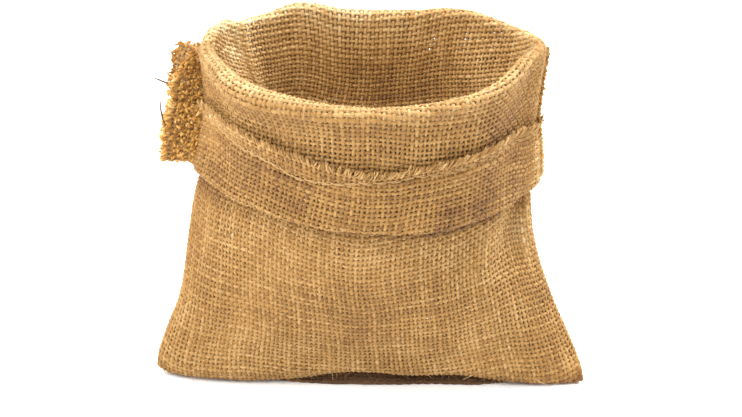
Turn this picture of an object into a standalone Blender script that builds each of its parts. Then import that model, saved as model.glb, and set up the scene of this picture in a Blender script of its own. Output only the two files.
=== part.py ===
"""A small jute sack that stands open, its mouth turned out into a wide cuff.

Two rectangles of hessian, a front and a back panel, are sewn together along the bottom and
both sides and turned right side out. The mouth has a deep hem, and because the mouth is
turned out, the hem and the frayed side turnings show on the outside of the cuff.

Each panel is one open sheet with a Solidify modifier. A sheet is worked out column by column:
up the wall, over the rim, down the cuff, round the folded edge and up the hem.
+X is the sack's right, -Y its front, +Z up. Table values are in millimetres.
"""

import math

import bmesh
import bpy
import numpy as np

MM = 0.001

# ---------------------------------------------------------------- driving sizes (mm)
CLOTH = 1.5              # thickness of the hessian
SEAM_SLIT = 1.5          # between the panels' edges where they meet edge to edge
SEAM_GAP = 0.4           # between their faces where the turnings lie flat together
PLY_STEP = 2.3           # from the middle of the cuff's ply to the middle of the hem's ply
RIM_RADIUS = 2.3         # bend of the cloth over the rim

# ---------------------------------------------------------------- the wall's guide rings (mm)
# Each row is one ring round the sack. left and right are where the side seams stand,
# seam_y and seam_z their place, and front and back give the middle of each panel.
# fullness shapes the half ring between them: below 1 it is square, above 1 pointed.
RING_COLUMNS = (
    "name", "left", "right", "seam_y", "seam_z",
    "front_y", "front_z", "front_fullness", "back_y", "back_z", "back_fullness",
)
RINGS = (
    ("bottom seam", -100.5, 99, -1.0, 2.4, 3.55, 0.0, 0.60, 4.45, 0.0, 0.60),
    ("foot", -100.5, 99, -1.0, 4.4, -8.0, 0.5, 0.55, 30.0, 0.0, 0.80),
    ("heel", -100, 98, -0.5, 8.0, -11.5, 4.5, 0.70, 36.0, 5.0, 0.90),
    ("low", -97, 93, 1.0, 19.0, -18.0, 20.0, 1.1, 42.0, 20.0, 1.1),
    ("belly", -89.5, 84.5, 5.0, 38.0, -25.0, 42.0, 1.3, 49.0, 42.0, 1.2),
    ("waist", -84, 75, 11.0, 68.0, -30.0, 68.0, 1.45, 56.0, 68.0, 1.2),
    ("under the cuff", -80.5, 73, 14.0, 88.0, -31.0, 88.0, 1.45, 60.0, 88.0, 1.2),
    ("high", -71.5, 70.5, 18.0, 118.0, -31.5, 116.0, 1.3, 65.0, 116.0, 1.45),
    ("rim", -70.5, 72.5, 21.0, 158.0, -32.0, 150.0, 1.0, 70.0, 151.5, 1.1),
)

# ---------------------------------------------------------------- soft dents and swells (mm)
# across runs from 0 at the left seam to 1 at the right one, up from 0 at the bottom seam
# to 1 at the rim. wide and tall are how far each bump spreads, in the same shares. A bump
# of one panel alone fades out at the seams, where the two panels hold each other.
BUMP_COLUMNS = ("name", "panel", "across", "up", "wide", "tall", "dx", "dy", "dz")
BUMPS = (
    ("arch under the front edge", "front", 0.49, 0.06, 0.09, 0.07, 0.0, 0.5, 5.0),
    ("low arch beside it", "front", 0.68, 0.06, 0.09, 0.07, 0.0, 0.5, 3.0),
    ("left foot", "front", 0.20, 0.05, 0.10, 0.10, 0.0, -1.5, 0.0),
    ("right foot", "front", 0.86, 0.05, 0.12, 0.10, 0.0, -5.0, 0.0),
    ("left ear", "both", 0.00, 0.00, 0.06, 0.08, 0.0, 2.0, 1.0),
    ("right ear", "both", 1.00, 0.00, 0.08, 0.08, 0.0, -6.0, -0.5),
    ("straight left of the rim", "front", 0.12, 1.00, 0.07, 0.25, 0.0, 5.0, 0.0),
    ("straight right of the rim", "front", 0.88, 1.00, 0.09, 0.30, 0.0, 9.5, 1.5),
    ("dent under the cuff", "front", 0.91, 0.54, 0.05, 0.10, -2.0, 9.5, 0.0),
    ("ridge beside the dent", "front", 0.82, 0.46, 0.05, 0.18, 0.0, -3.5, 0.0),
    ("lip of the left corner", "back", 0.09, 0.80, 0.08, 0.13, 9.0, -3.0, 0.0),
    ("shoulder of the corner", "back", 0.10, 1.00, 0.10, 0.12, -1.0, 0.0, 5.0),
    ("crease in the back", "back", 0.155, 0.90, 0.03, 0.30, 1.0, -4.5, 0.0),
    ("peak beside the crease", "back", 0.32, 1.00, 0.08, 0.12, 0.0, 2.0, 5.0),
    ("swell of the back rim", "back", 0.72, 0.95, 0.10, 0.20, 0.0, 2.0, 3.0),
)

# ---------------------------------------------------------------- the cuff and hem (mm)
# The cuff's height from the rim to its folded edge, and the depth of the hem above that edge.
CUFF_SIZE_COLUMNS = ("across", "front_height", "front_hem", "back_height", "back_hem")
CUFF_SIZES = (
    (0.00, 57.0, 32.5, 57.0, 32.5),
    (0.04, 55.8, 35.8, 55.2, 34.5),
    (0.10, 54.1, 37.0, 52.5, 36.0),
    (0.24, 51.2, 34.5, 47.2, 33.3),
    (0.40, 51.8, 30.6, 44.0, 30.6),
    (0.50, 52.6, 28.0, 44.0, 30.0),
    (0.60, 54.7, 29.7, 45.8, 30.2),
    (0.76, 57.0, 34.7, 51.9, 32.3),
    (0.84, 60.4, 37.2, 56.1, 34.0),
    (0.92, 62.5, 37.0, 59.5, 34.5),
    (1.00, 62.5, 32.5, 62.5, 32.5),
)
# Where the rim is a fuller roll than elsewhere: how much is added to its radius.
ROLL_COLUMNS = ("name", "panel", "across", "wide", "radius")
ROLLS = (
    ("left front", "front", 0.26, 0.17, 3.0),
    ("middle of the front", "front", 0.60, 0.22, 0.9),
    ("back", "back", 0.50, 0.30, 0.8),
)
ROLL_DROP = 0.30         # share of the cuff's height in which it settles back on the wall
# How far the cuff's ply hangs off the wall, at shares of its height from the rim down.
CUFF_COLUMNS = ("down", "at_middle", "at_seam")
CUFF = (
    (0.00, 4.6, 4.6),
    (0.25, 4.4, 4.0),
    (0.50, 4.0, 3.6),
    (0.75, 4.6, 3.4),
    (1.00, 6.5, 2.9),
)
# The turnings that stand out of the cuff's side seams, at shares of the cuff's height: their
# width, and how far the front and the back one lean apart, in degrees.
TURNING_COLUMNS = (
    "down", "left_front", "left_back", "left_open", "right_front", "right_back", "right_open",
)
TURNINGS = (
    (0.00, 2.5, 13.5, 20.0, 2.5, 2.5, 0.0),
    (0.12, 9.0, 19.0, 18.0, 2.5, 2.5, 0.0),
    (0.30, 19.5, 20.5, 8.0, 2.6, 2.6, 0.0),
    (0.50, 20.5, 20.5, 4.0, 2.6, 2.6, 0.0),
    (0.62, 24.0, 24.0, 2.0, 2.8, 2.8, 0.0),
    (0.88, 23.4, 23.4, 2.0, 3.8, 3.8, 0.0),
    (1.00, 22.5, 22.5, 2.0, 3.5, 3.5, 0.0),
)
TURNING_LEAN = {"left": 4.0, "right": 5.0}   # degrees towards the back
TURNING_DROP = {"left": 0.95, "right": 0.94}  # how far down the cuff the turnings reach

# ---------------------------------------------------------------- how finely the sheet is cut
ACROSS_STEPS = 32        # columns between the seams
TURNING_STEPS = 2        # columns in each turning
GUIDE_STEPS = 12         # fine rows between two guide rings
WALL_STRIDE = 6          # every sixth of them stays in the finished wall
RIM_STEPS = 4
CUFF_STEPS = 6
FOLD_STEPS = 4
HEM_STEPS = 4
EASING_ROUNDS = 3        # how often the bend at a seam is averaged with its neighbours

SEAM_HOLD = 0.03         # share of a panel over which its own bumps fade at the seams

HESSIAN = {"front_panel": (0.515, 0.285, 0.105), "back_panel": (0.445, 0.235, 0.080)}


# ---------------------------------------------------------------- small helpers
def column(table, names, wanted):
    """One named column of a table, as an array."""
    place = names.index(wanted)
    return np.array([row[place] for row in table])


def read(table, names, wanted, at):
    """The column wanted, read between the rows of a table whose first column rises."""
    return np.interp(at, column(table, names, names[0]), column(table, names, wanted))


def unit(vectors):
    return vectors / np.linalg.norm(vectors, axis=-1, keepdims=True)


def length_along(rows):
    """Running length up each column of a grid of points."""
    steps = np.linalg.norm(np.diff(rows, axis=0), axis=-1)
    return np.concatenate([np.zeros((1, rows.shape[1])), np.cumsum(steps, axis=0)])


def points_at(rows, length, wanted):
    """Points at the wanted running lengths, column by column."""
    found = np.empty(wanted.shape + (3,))
    for place in range(rows.shape[1]):
        for axis in range(3):
            found[:, place, axis] = np.interp(wanted[:, place], length[:, place], rows[:, place, axis])
    return found


def even_shares(steps, crowding):
    """Shares from 0 to 1, crowded towards both ends."""
    share = np.linspace(0.0, 1.0, steps + 1)
    return share - crowding * np.sin(2.0 * math.pi * share) / (2.0 * math.pi)


# ---------------------------------------------------------------- the wall
def half_ring(ring, panel, across):
    """One guide ring across one panel, its points an even stretch of cloth apart."""
    side = -1.0 if panel == "front" else 1.0
    turn = np.linspace(0.0, math.pi, 721)
    reach = np.sin(turn) ** ring[panel + "_fullness"]
    seam_y = ring["seam_y"] + side * SEAM_SLIT / 2.0
    middle_x = (ring["left"] + ring["right"]) / 2.0
    half_width = (ring["right"] - ring["left"]) / 2.0
    points = np.stack([
        middle_x - half_width * np.cos(turn),
        seam_y + (ring[panel + "_y"] - seam_y) * reach,
        ring["seam_z"] + (ring[panel + "_z"] - ring["seam_z"]) * reach,
    ], axis=-1)[:, None, :]
    length = length_along(points)
    return points_at(points, length, across[:, None] * length[-1])[:, 0, :]


def smooth_between(guides, steps):
    """A smooth run of rows through the guide rings, with steps rows for each gap."""
    gaps = np.linalg.norm(np.diff(guides, axis=0), axis=-1, keepdims=True)
    slopes = np.diff(guides, axis=0) / gaps
    leans = np.empty_like(guides)
    leans[0], leans[-1] = slopes[0], slopes[-1]
    leans[1:-1] = (slopes[:-1] * gaps[1:] + slopes[1:] * gaps[:-1]) / (gaps[:-1] + gaps[1:])
    rows = []
    for low in range(len(guides) - 1):
        for share in np.arange(steps) / steps:
            back = 1.0 - share
            straight = (1.0 + 2.0 * share) * back ** 2 * guides[low]
            straight = straight + share ** 2 * (3.0 - 2.0 * share) * guides[low + 1]
            bend = share * back ** 2 * leans[low] - share ** 2 * back * leans[low + 1]
            rows.append(straight + gaps[low] * bend)
    rows.append(guides[-1])
    return np.array(rows)


def wall_rows(panel, across):
    """The wall of one panel, from the bottom seam to the rim."""
    rings = [dict(zip(RING_COLUMNS, row)) for row in RINGS]
    guides = np.array([half_ring(ring, panel, across) for ring in rings])
    rows = smooth_between(guides, GUIDE_STEPS)
    length = length_along(rows)
    up = length / length[-1]
    from_seam = np.minimum(np.minimum(across, 1.0 - across)[None, :], up)
    free = 1.0 - np.exp(-(from_seam / SEAM_HOLD) ** 2)
    for row in BUMPS:
        bump = dict(zip(BUMP_COLUMNS, row))
        if bump["panel"] not in (panel, "both"):
            continue
        sideways = (across[None, :] - bump["across"]) / bump["wide"]
        upwards = (up - bump["up"]) / bump["tall"]
        weight = np.exp(-sideways ** 2 - upwards ** 2)
        if bump["panel"] == panel:
            weight = weight * free
        rows = rows + weight[..., None] * np.array([bump["dx"], bump["dy"], bump["dz"]])
    rows[..., 2] = np.maximum(rows[..., 2], CLOTH / 2.0)
    return rows


def facing_out(rows, panel):
    """The direction out of the sack at each point of a grid."""
    along = np.gradient(rows, axis=1)
    upwards = np.gradient(rows, axis=0)
    sign = 1.0 if panel == "front" else -1.0
    return unit(sign * np.cross(along, upwards))


def eased_round(front, back, reach):
    """Directions averaged round the whole ring, so that both panels agree at the seams."""
    ring = np.concatenate([front, back[:, ::-1]], axis=1)
    eased = sum(np.roll(ring, step, axis=1) for step in range(-reach, reach + 1))
    eased = unit(eased)
    count = front.shape[1]
    return eased[:, :count], eased[:, count:][:, ::-1]


# ---------------------------------------------------------------- the cuff, turnings and hem
def across_panel(panel, size, across):
    """The height of the cuff or the depth of the hem of one panel, at places across it."""
    return read(CUFF_SIZES, CUFF_SIZE_COLUMNS, panel + "_" + size, across)


def rim_radius(panel, across):
    """The radius of the bend over the rim, across one panel."""
    radius = np.full(len(across), RIM_RADIUS)
    for row in ROLLS:
        roll = dict(zip(ROLL_COLUMNS, row))
        if roll["panel"] == panel:
            radius += roll["radius"] * np.exp(-((across - roll["across"]) / roll["wide"]) ** 2)
    return radius


def rim_rows(wall, out, radius):
    """The cloth bending over the rim, with the wall's last row left out."""
    upwards = unit(wall[-1] - wall[-2])
    rows = []
    for turn in np.linspace(0.0, math.pi, RIM_STEPS + 1)[1:]:
        outwards = (radius * (1.0 - math.cos(turn)))[:, None] * out[-1]
        rows.append(wall[-1] + outwards + (radius * math.sin(turn))[:, None] * upwards)
    return np.array(rows)


def cuff_rows(wall, out, across, height, radius):
    """The cuff's ply from under the rim down to its folded edge, off the wall."""
    length = length_along(wall)
    down = np.linspace(0.0, 1.0, CUFF_STEPS + 1)[:, None]
    wanted = length[-1] - down * height
    middle = read(CUFF, CUFF_COLUMNS, "at_middle", down)
    seam = read(CUFF, CUFF_COLUMNS, "at_seam", down)
    offset = seam + (middle - seam) * np.sin(math.pi * across)
    settling = np.maximum(1.0 - down / ROLL_DROP, 0.0) ** 2
    offset = offset + 2.0 * (radius - RIM_RADIUS) * settling
    normal = unit(points_at(out, length, wanted))
    return points_at(wall, length, wanted) + offset[..., None] * normal


def turning_columns(cuff, panel, seam):
    """The turnings of one seam, as further columns that stand out of the cuff's ply."""
    edge = cuff[:, :1] if seam == "left" else cuff[:, -1:]
    down = np.linspace(0.0, 1.0, CUFF_STEPS + 1)
    width = read(TURNINGS, TURNING_COLUMNS, seam + "_" + panel, down)
    opened = read(TURNINGS, TURNING_COLUMNS, seam + "_open", down)
    lean = np.radians(TURNING_LEAN[seam] + (-opened if panel == "front" else opened))
    sideways = -1.0 if seam == "left" else 1.0
    flat = np.zeros_like(lean)
    direction = np.stack([sideways * np.cos(lean), np.sin(lean), flat], axis=-1)
    towards_back = np.stack([-sideways * np.sin(lean), np.cos(lean), flat], axis=-1)
    length = length_along(edge)
    drawn_up = points_at(edge, length, length * TURNING_DROP[seam])[:, 0]
    side = -1.0 if panel == "front" else 1.0
    middle = drawn_up - side * SEAM_SLIT / 2.0 * np.array([0.0, 1.0, 0.0])
    seam_line = middle + side * (CLOTH + SEAM_GAP) / 2.0 * towards_back
    shares = np.linspace(0.0, 1.0, TURNING_STEPS + 1)[1:]
    return [seam_line + (share * width)[:, None] * direction for share in shares]


def with_turnings(cuff, panel):
    """The cuff's ply with its turnings, the left ones first, and the bend at each seam eased."""
    left = turning_columns(cuff, panel, "left")[::-1]
    right = turning_columns(cuff, panel, "right")
    wide = np.stack(left + [cuff[:, place] for place in range(cuff.shape[1])] + right, axis=1)
    for seam in (TURNING_STEPS, wide.shape[1] - 1 - TURNING_STEPS):
        for _ in range(EASING_ROUNDS):
            around = slice(seam - 1, seam + 2)
            before, after = slice(seam - 2, seam + 1), slice(seam, seam + 3)
            wide[:, around] = (wide[:, before] + 2.0 * wide[:, around] + wide[:, after]) / 4.0
    return wide


def hem_rows(cuff, out, height, depth):
    """The fold at the cuff's lower edge and the hem's ply up to its raw edge."""
    radius = PLY_STEP / 2.0
    downwards = unit(cuff[-1] - cuff[-2])
    rows = []
    for turn in np.linspace(0.0, math.pi, FOLD_STEPS + 1)[1:]:
        outwards = radius * (1.0 - math.cos(turn)) * out[-1]
        rows.append(cuff[-1] + outwards + radius * math.sin(turn) * downwards)
    length = length_along(cuff)
    for share in np.linspace(0.0, 1.0, HEM_STEPS + 1)[1:]:
        wanted = (length[-1] * (1.0 - share * depth / height))[None, :]
        normal = unit(points_at(out, length, wanted))
        rows.append((points_at(cuff, length, wanted) + PLY_STEP * normal)[0])
    return np.array(rows)


def padded(values):
    """Values for the columns between the seams, carried on over the turnings."""
    return np.concatenate([
        np.full(TURNING_STEPS, values[0]), values, np.full(TURNING_STEPS, values[-1]),
    ])


# ---------------------------------------------------------------- the panels
def panel_rows():
    """Both panels as grids of points, and the number of rows without turnings."""
    across = even_shares(ACROSS_STEPS, 0.5)
    walls = {panel: wall_rows(panel, across) for panel in ("front", "back")}
    faces = {panel: facing_out(walls[panel], panel) for panel in walls}
    faces["front"], faces["back"] = eased_round(faces["front"], faces["back"], 2)
    grids = {}
    for panel, wall in walls.items():
        out = faces[panel]
        kept_wall = wall[::WALL_STRIDE]
        radius = rim_radius(panel, across)
        rim = rim_rows(wall, out, radius)
        height = across_panel(panel, "height", across)
        depth = across_panel(panel, "hem", across)
        wide_cuff = with_turnings(cuff_rows(wall, out, across, height, radius), panel)
        cuff_out = facing_out(wide_cuff[::-1], panel)[::-1]
        hem = hem_rows(wide_cuff, cuff_out, padded(height), padded(depth))
        narrow = np.concatenate([kept_wall, rim[:-1]])
        blank = np.repeat(narrow[:, :1], TURNING_STEPS, axis=1)
        blank_right = np.repeat(narrow[:, -1:], TURNING_STEPS, axis=1)
        narrow = np.concatenate([blank, narrow, blank_right], axis=1)
        grids[panel] = np.concatenate([narrow, wide_cuff, hem])
    return grids, len(narrow)


def hessian_material(name, colour):
    material = bpy.data.materials.new(name + "_hessian")
    material.use_nodes = True
    shader = material.node_tree.nodes["Principled BSDF"]
    shader.inputs["Base Color"].default_value = (*colour, 1.0)
    shader.inputs["Roughness"].default_value = 0.9
    shader.inputs["Metallic"].default_value = 0.0
    return material


def make_panel(name, grid, narrow_rows, collection):
    """One sheet of hessian, as thick as the cloth, with turnings on its cuff and hem only."""
    rows, columns = grid.shape[:2]
    sheet = bmesh.new()
    bmesh.ops.create_grid(sheet, x_segments=columns - 1, y_segments=rows - 1, size=1.0)
    sheet.verts.ensure_lookup_table()
    points = grid.reshape(-1, 3) * MM
    for vertex, point in zip(sheet.verts, points):
        vertex.co = point
    last = columns - 1 - TURNING_STEPS
    spare = []
    for face in sheet.faces:
        places = [divmod(vertex.index, columns) for vertex in face.verts]
        low_row = min(row for row, place in places)
        in_left = max(place for row, place in places) <= TURNING_STEPS
        in_right = min(place for row, place in places) >= last
        if low_row < narrow_rows and (in_left or in_right):
            spare.append(face)
    bmesh.ops.delete(sheet, geom=spare, context="FACES")
    bmesh.ops.recalc_face_normals(sheet, faces=sheet.faces)
    mesh = bpy.data.meshes.new(name)
    sheet.to_mesh(mesh)
    sheet.free()
    panel = bpy.data.objects.new(name, mesh)
    collection.objects.link(panel)
    mesh.materials.append(hessian_material(name, HESSIAN[name]))
    thicken = panel.modifiers.new("cloth thickness", "SOLIDIFY")
    thicken.thickness = CLOTH * MM
    thicken.offset = 0.0
    thicken.use_even_offset = True
    thicken.use_quality_normals = True
    return panel


def centre_on_origin(grids):
    """Moves both grids so that the sack's box stands centred on the origin."""
    points = np.concatenate([grid.reshape(-1, 3) for grid in grids.values()])
    middle = (points.min(axis=0) + points.max(axis=0)) / 2.0
    middle[2] = 0.0
    for panel in grids:
        grids[panel] = grids[panel] - middle
    return grids


def main():
    for thing in list(bpy.data.objects):
        bpy.data.objects.remove(thing)
    collection = bpy.data.collections.new("jute_sack")
    bpy.context.scene.collection.children.link(collection)
    grids, narrow_rows = panel_rows()
    grids = centre_on_origin(grids)
    for panel, grid in grids.items():
        make_panel(panel + "_panel", grid, narrow_rows, collection)


main()
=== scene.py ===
# %% [markdown]
# # A small jute sack, woven yarn by yarn
#
# This lesson dresses the plain model of a jute sack. The plain model is the *frame*: two smooth
# sheets, a front and a back panel, that say how big the sack is and how it stands. Jute sacking,
# also called hessian or burlap, is so coarse that its yarns, its small holes and its stray
# fibres are the first things anyone sees. So each smooth sheet is replaced here by real weaving:
# one thin tube for every yarn, passing over and under the others.
#
# Lengths are in millimetres while the cloth is worked out, and in metres once it is a mesh.

# %% Load the frame
import math

import bpy
import numpy as np
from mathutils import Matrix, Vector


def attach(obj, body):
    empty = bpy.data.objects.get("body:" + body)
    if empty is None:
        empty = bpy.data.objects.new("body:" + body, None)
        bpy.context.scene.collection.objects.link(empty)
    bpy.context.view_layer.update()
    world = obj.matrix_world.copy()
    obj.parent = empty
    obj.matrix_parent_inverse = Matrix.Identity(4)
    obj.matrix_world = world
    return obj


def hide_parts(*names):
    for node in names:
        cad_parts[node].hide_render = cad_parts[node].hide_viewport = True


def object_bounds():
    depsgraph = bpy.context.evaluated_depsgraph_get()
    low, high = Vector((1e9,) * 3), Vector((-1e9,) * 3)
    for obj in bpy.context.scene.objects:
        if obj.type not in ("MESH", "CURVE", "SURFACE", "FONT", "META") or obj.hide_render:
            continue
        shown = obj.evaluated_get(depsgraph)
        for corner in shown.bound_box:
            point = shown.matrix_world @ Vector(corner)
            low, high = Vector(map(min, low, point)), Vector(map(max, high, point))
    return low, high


MM = 0.001
PANELS = ("front", "back")
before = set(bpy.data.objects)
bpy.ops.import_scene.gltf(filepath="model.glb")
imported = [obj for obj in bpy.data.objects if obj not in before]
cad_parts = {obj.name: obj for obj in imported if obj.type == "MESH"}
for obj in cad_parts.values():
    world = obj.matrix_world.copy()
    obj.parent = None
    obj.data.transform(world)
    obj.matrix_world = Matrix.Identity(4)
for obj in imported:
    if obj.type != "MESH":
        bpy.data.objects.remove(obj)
frame_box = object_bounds()
print("the frame's pieces:", ", ".join(sorted(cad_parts)))
print("frame box in mm:", [[round(value / MM, 1) for value in corner] for corner in frame_box])

# %% [markdown]
# ## The pattern
#
# Each panel is a rectangle of cloth. Its warp yarns run from the bottom seam up the wall, over
# the rim, down the cuff, round the folded edge and up the hem. Its weft yarns run across. The
# walls are given by guide rings, one above the other, and by a few soft dents and swells. These
# are the sizes that the frame is made from, with the bottom edge, the left corner and the hem
# shaped a little more finely, so the woven cloth lies where the frame does.

# %% Table helpers
def named_rows(names, *rows):
    """A table: each of its rows as a dictionary, by the names of the columns."""
    return [dict(zip(names, row)) for row in rows]


def column(table, name):
    """One column of a table, as an array."""
    return np.array([row[name] for row in table])


def read(table, name, at):
    """A column read between the rows of a table whose first column rises."""
    return np.interp(at, column(table, next(iter(table[0]))), column(table, name))


sample = named_rows(("at", "size"), (0.0, 1.0), (1.0, 3.0))
print("half way through a sample table the size is", read(sample, "size", 0.5))

# %% Guide rings of the wall, in mm
CLOTH = 1.5              # thickness of the hessian
PLY_STEP = 2.3           # from the middle of the cuff's ply to the middle of the hem's ply
RIM_RADIUS = 2.3         # bend of the cloth over the rim
SEAM_SLIT = 0.5          # between the panels' edges along the seams

# left and right are where the side seams stand, and front and back give the middle of each
# panel. fullness shapes the half ring between them: below 1 it is square, above 1 pointed.
RINGS = named_rows(
    ("name", "left", "right", "seam_y", "seam_z",
     "front_y", "front_z", "front_fullness", "back_y", "back_z", "back_fullness"),
    ("bottom seam", -100.5, 99, -1.0, 2.4, 6.05, 0.0, 0.60, 6.95, 0.0, 0.60),
    ("foot", -100.5, 99, -1.0, 4.4, -9.5, 0.5, 0.55, 30.0, 0.0, 0.80),
    ("heel", -100, 98, -0.5, 8.0, -13.0, 4.5, 0.70, 36.0, 5.0, 0.90),
    ("low", -97, 93, 1.0, 19.0, -18.0, 20.0, 1.1, 42.0, 20.0, 1.1),
    ("belly", -89.5, 84.5, 5.0, 38.0, -25.0, 42.0, 1.3, 49.0, 42.0, 1.2),
    ("waist", -84, 75, 11.0, 68.0, -30.0, 68.0, 1.45, 56.0, 68.0, 1.2),
    ("under the cuff", -80.5, 73, 14.0, 88.0, -31.0, 88.0, 1.45, 60.0, 88.0, 1.2),
    ("high", -71.5, 70.5, 18.0, 118.0, -31.5, 116.0, 1.3, 65.0, 116.0, 1.45),
    ("rim", -70.5, 72.5, 21.0, 158.0, -32.0, 150.0, 1.0, 70.0, 151.5, 1.1),
)
print(len(RINGS), "guide rings, from the", RINGS[0]["name"], "to the", RINGS[-1]["name"])

# %% Dents and swells of the wall, in mm
# across runs from 0 at the left seam to 1 at the right one, up from 0 at the bottom seam
# to 1 at the rim; wide and tall are how far each bump spreads, in the same shares.
BUMPS = named_rows(
    ("name", "panel", "across", "up", "wide", "tall", "dx", "dy", "dz"),
    ("arch under the front edge", "front", 0.48, 0.06, 0.10, 0.07, 0.0, 0.0, 7.5),
    ("low arch beside it", "front", 0.68, 0.06, 0.09, 0.07, 0.0, 0.0, 4.2),
    ("lifted front edge", "front", 0.36, 0.06, 0.30, 0.07, 0.0, 0.0, 2.4),
    ("lifted right edge", "front", 0.80, 0.06, 0.10, 0.07, 0.0, 0.0, 1.6),
    ("seam under the arch", "both", 0.50, 0.00, 0.36, 0.035, 0.0, -17.5, 0.0),
    ("seam under the right edge", "both", 0.80, 0.00, 0.14, 0.035, 0.0, -6.0, 0.0),
    ("left foot", "front", 0.20, 0.05, 0.10, 0.10, 0.0, -1.5, 0.0),
    ("right foot", "front", 0.86, 0.05, 0.12, 0.10, 0.0, -5.0, 0.0),
    ("left ear", "both", 0.00, 0.00, 0.06, 0.08, 0.0, 2.0, 2.2),
    ("right ear", "both", 1.00, 0.00, 0.08, 0.08, 0.0, -6.0, -0.5),
    ("straight left of the rim", "front", 0.12, 1.00, 0.07, 0.25, 0.0, 5.0, 0.0),
    ("straight right of the rim", "front", 0.88, 1.00, 0.09, 0.30, 0.0, 9.5, 1.5),
    ("dent under the cuff", "front", 0.91, 0.54, 0.05, 0.10, -2.0, 9.5, 0.0),
    ("ridge beside the dent", "front", 0.82, 0.46, 0.05, 0.18, 0.0, -3.5, 0.0),
    ("lip of the left corner", "back", 0.09, 0.80, 0.08, 0.13, 9.0, -3.0, 0.0),
    ("shoulder of the corner", "back", 0.10, 1.00, 0.10, 0.12, -1.0, 0.0, 5.0),
    ("crease in the back", "back", 0.155, 0.90, 0.03, 0.30, 1.0, -4.5, 0.0),
    ("peak beside the crease", "back", 0.32, 1.00, 0.08, 0.12, 0.0, 2.0, 5.0),
    ("swell of the back rim", "back", 0.72, 0.95, 0.10, 0.20, 0.0, 2.0, 3.0),
)
SEAM_HOLD = 0.03         # share of a panel over which its own bumps fade at the seams
print(len(BUMPS), "bumps, such as the", BUMPS[0]["name"])

# %% [markdown]
# The cuff hangs a few millimetres off the wall, and its hem lies on it as a second ply. At the
# side seams the raw edges of both panels, called turnings, stand out as a frayed fin.

# %% Cuff and hem, in mm
# The cuff's height from the rim to its folded edge, and the depth of the hem above that edge.
CUFF_SIZES = named_rows(
    ("across", "front_height", "front_hem", "back_height", "back_hem"),
    (0.00, 57.0, 32.5, 57.0, 32.5),
    (0.04, 55.8, 35.8, 55.2, 34.5),
    (0.10, 54.1, 37.0, 52.5, 36.0),
    (0.24, 51.2, 34.5, 47.2, 33.3),
    (0.40, 51.8, 30.6, 44.0, 30.6),
    (0.50, 52.6, 28.6, 44.0, 30.0),
    (0.56, 53.9, 30.6, 45.1, 30.1),
    (0.60, 54.7, 33.0, 45.8, 30.2),
    (0.68, 55.9, 33.6, 48.9, 31.3),
    (0.76, 57.0, 34.8, 51.9, 32.3),
    (0.84, 60.4, 34.9, 56.1, 33.6),
    (0.92, 62.5, 32.8, 59.5, 33.4),
    (1.00, 62.5, 30.2, 62.5, 30.2),
)
# Where the rim is a fuller roll than elsewhere: how much is added to its radius.
ROLLS = named_rows(
    ("name", "panel", "across", "wide", "radius"),
    ("left front", "front", 0.26, 0.17, 3.0),
    ("middle of the front", "front", 0.60, 0.22, 0.9),
    ("back", "back", 0.50, 0.30, 0.8),
)
ROLL_DROP = 0.30         # share of the cuff's height in which it settles back on the wall
# How far the cuff's ply hangs off the wall, at shares of its height from the rim down.
CUFF = named_rows(
    ("down", "at_middle", "at_seam"),
    (0.00, 4.6, 4.6),
    (0.25, 4.4, 4.0),
    (0.50, 4.0, 3.6),
    (0.75, 4.6, 3.4),
    (1.00, 6.5, 2.9),
)
print("in mid panel the cuff's fold hangs", CUFF[-1]["at_middle"], "mm off the wall")

# %% Turnings, in mm
# The width of the turnings and how far the front and back one lean apart, in degrees.
TURNINGS = named_rows(
    ("down", "left_front", "left_back", "left_open", "right_front", "right_back", "right_open"),
    (0.00, 2.5, 13.5, 20.0, 2.5, 2.5, 0.0),
    (0.12, 9.0, 19.0, 18.0, 2.5, 2.5, 0.0),
    (0.30, 19.5, 20.5, 8.0, 2.6, 2.6, 0.0),
    (0.50, 20.5, 20.5, 4.0, 2.6, 2.6, 0.0),
    (0.62, 24.0, 24.0, 2.0, 2.8, 2.8, 0.0),
    (0.88, 23.4, 23.4, 2.0, 3.8, 3.8, 0.0),
    (1.00, 22.5, 22.5, 2.0, 3.5, 3.5, 0.0),
)
TURNING_LEAN = {"left": 4.0, "right": 5.0}    # degrees towards the back
TURNING_DROP = {"left": 0.95, "right": 0.94}  # how far down the cuff the turnings reach
TURNING_GAP = 0.4        # between the faces of the two turnings
print("the left turnings are up to", column(TURNINGS, "left_front").max(), "mm wide")

# %% [markdown]
# ## The thread count
#
# Hessian is sold by its threads to the inch. Two hundred millimetres of this cloth hold 93 warp
# yarns, a pitch of 2.15 mm, which is close to 12 threads to the inch. One column of the grid
# below lies on each warp yarn and one halfway to the next, and the rows do the same for the
# weft. That is just enough to bend a yarn over one neighbour and under the next.

# %% Threads
WARPS = 93               # warp yarns of a panel between its side seams
WEFTS = 115              # weft yarns from the bottom seam to the hem's raw edge
TURNING_WARPS = {"left": 8, "right": 1}
LEFT, RIGHT = 2 * TURNING_WARPS["left"], 2 * TURNING_WARPS["right"]  # in columns of the grid
FRAYED_WEFTS = 2         # weft yarns that have come off the hem's raw edge
FRAYED_WARPS = 2         # warp yarns that have come off the left turnings
FLAT_WIDTH = 200.0       # of the cloth between the side seams
PITCH = FLAT_WIDTH / WARPS
print("warp pitch", round(PITCH, 2), "mm,", round(25.4 / PITCH, 1), "threads to the inch")

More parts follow.
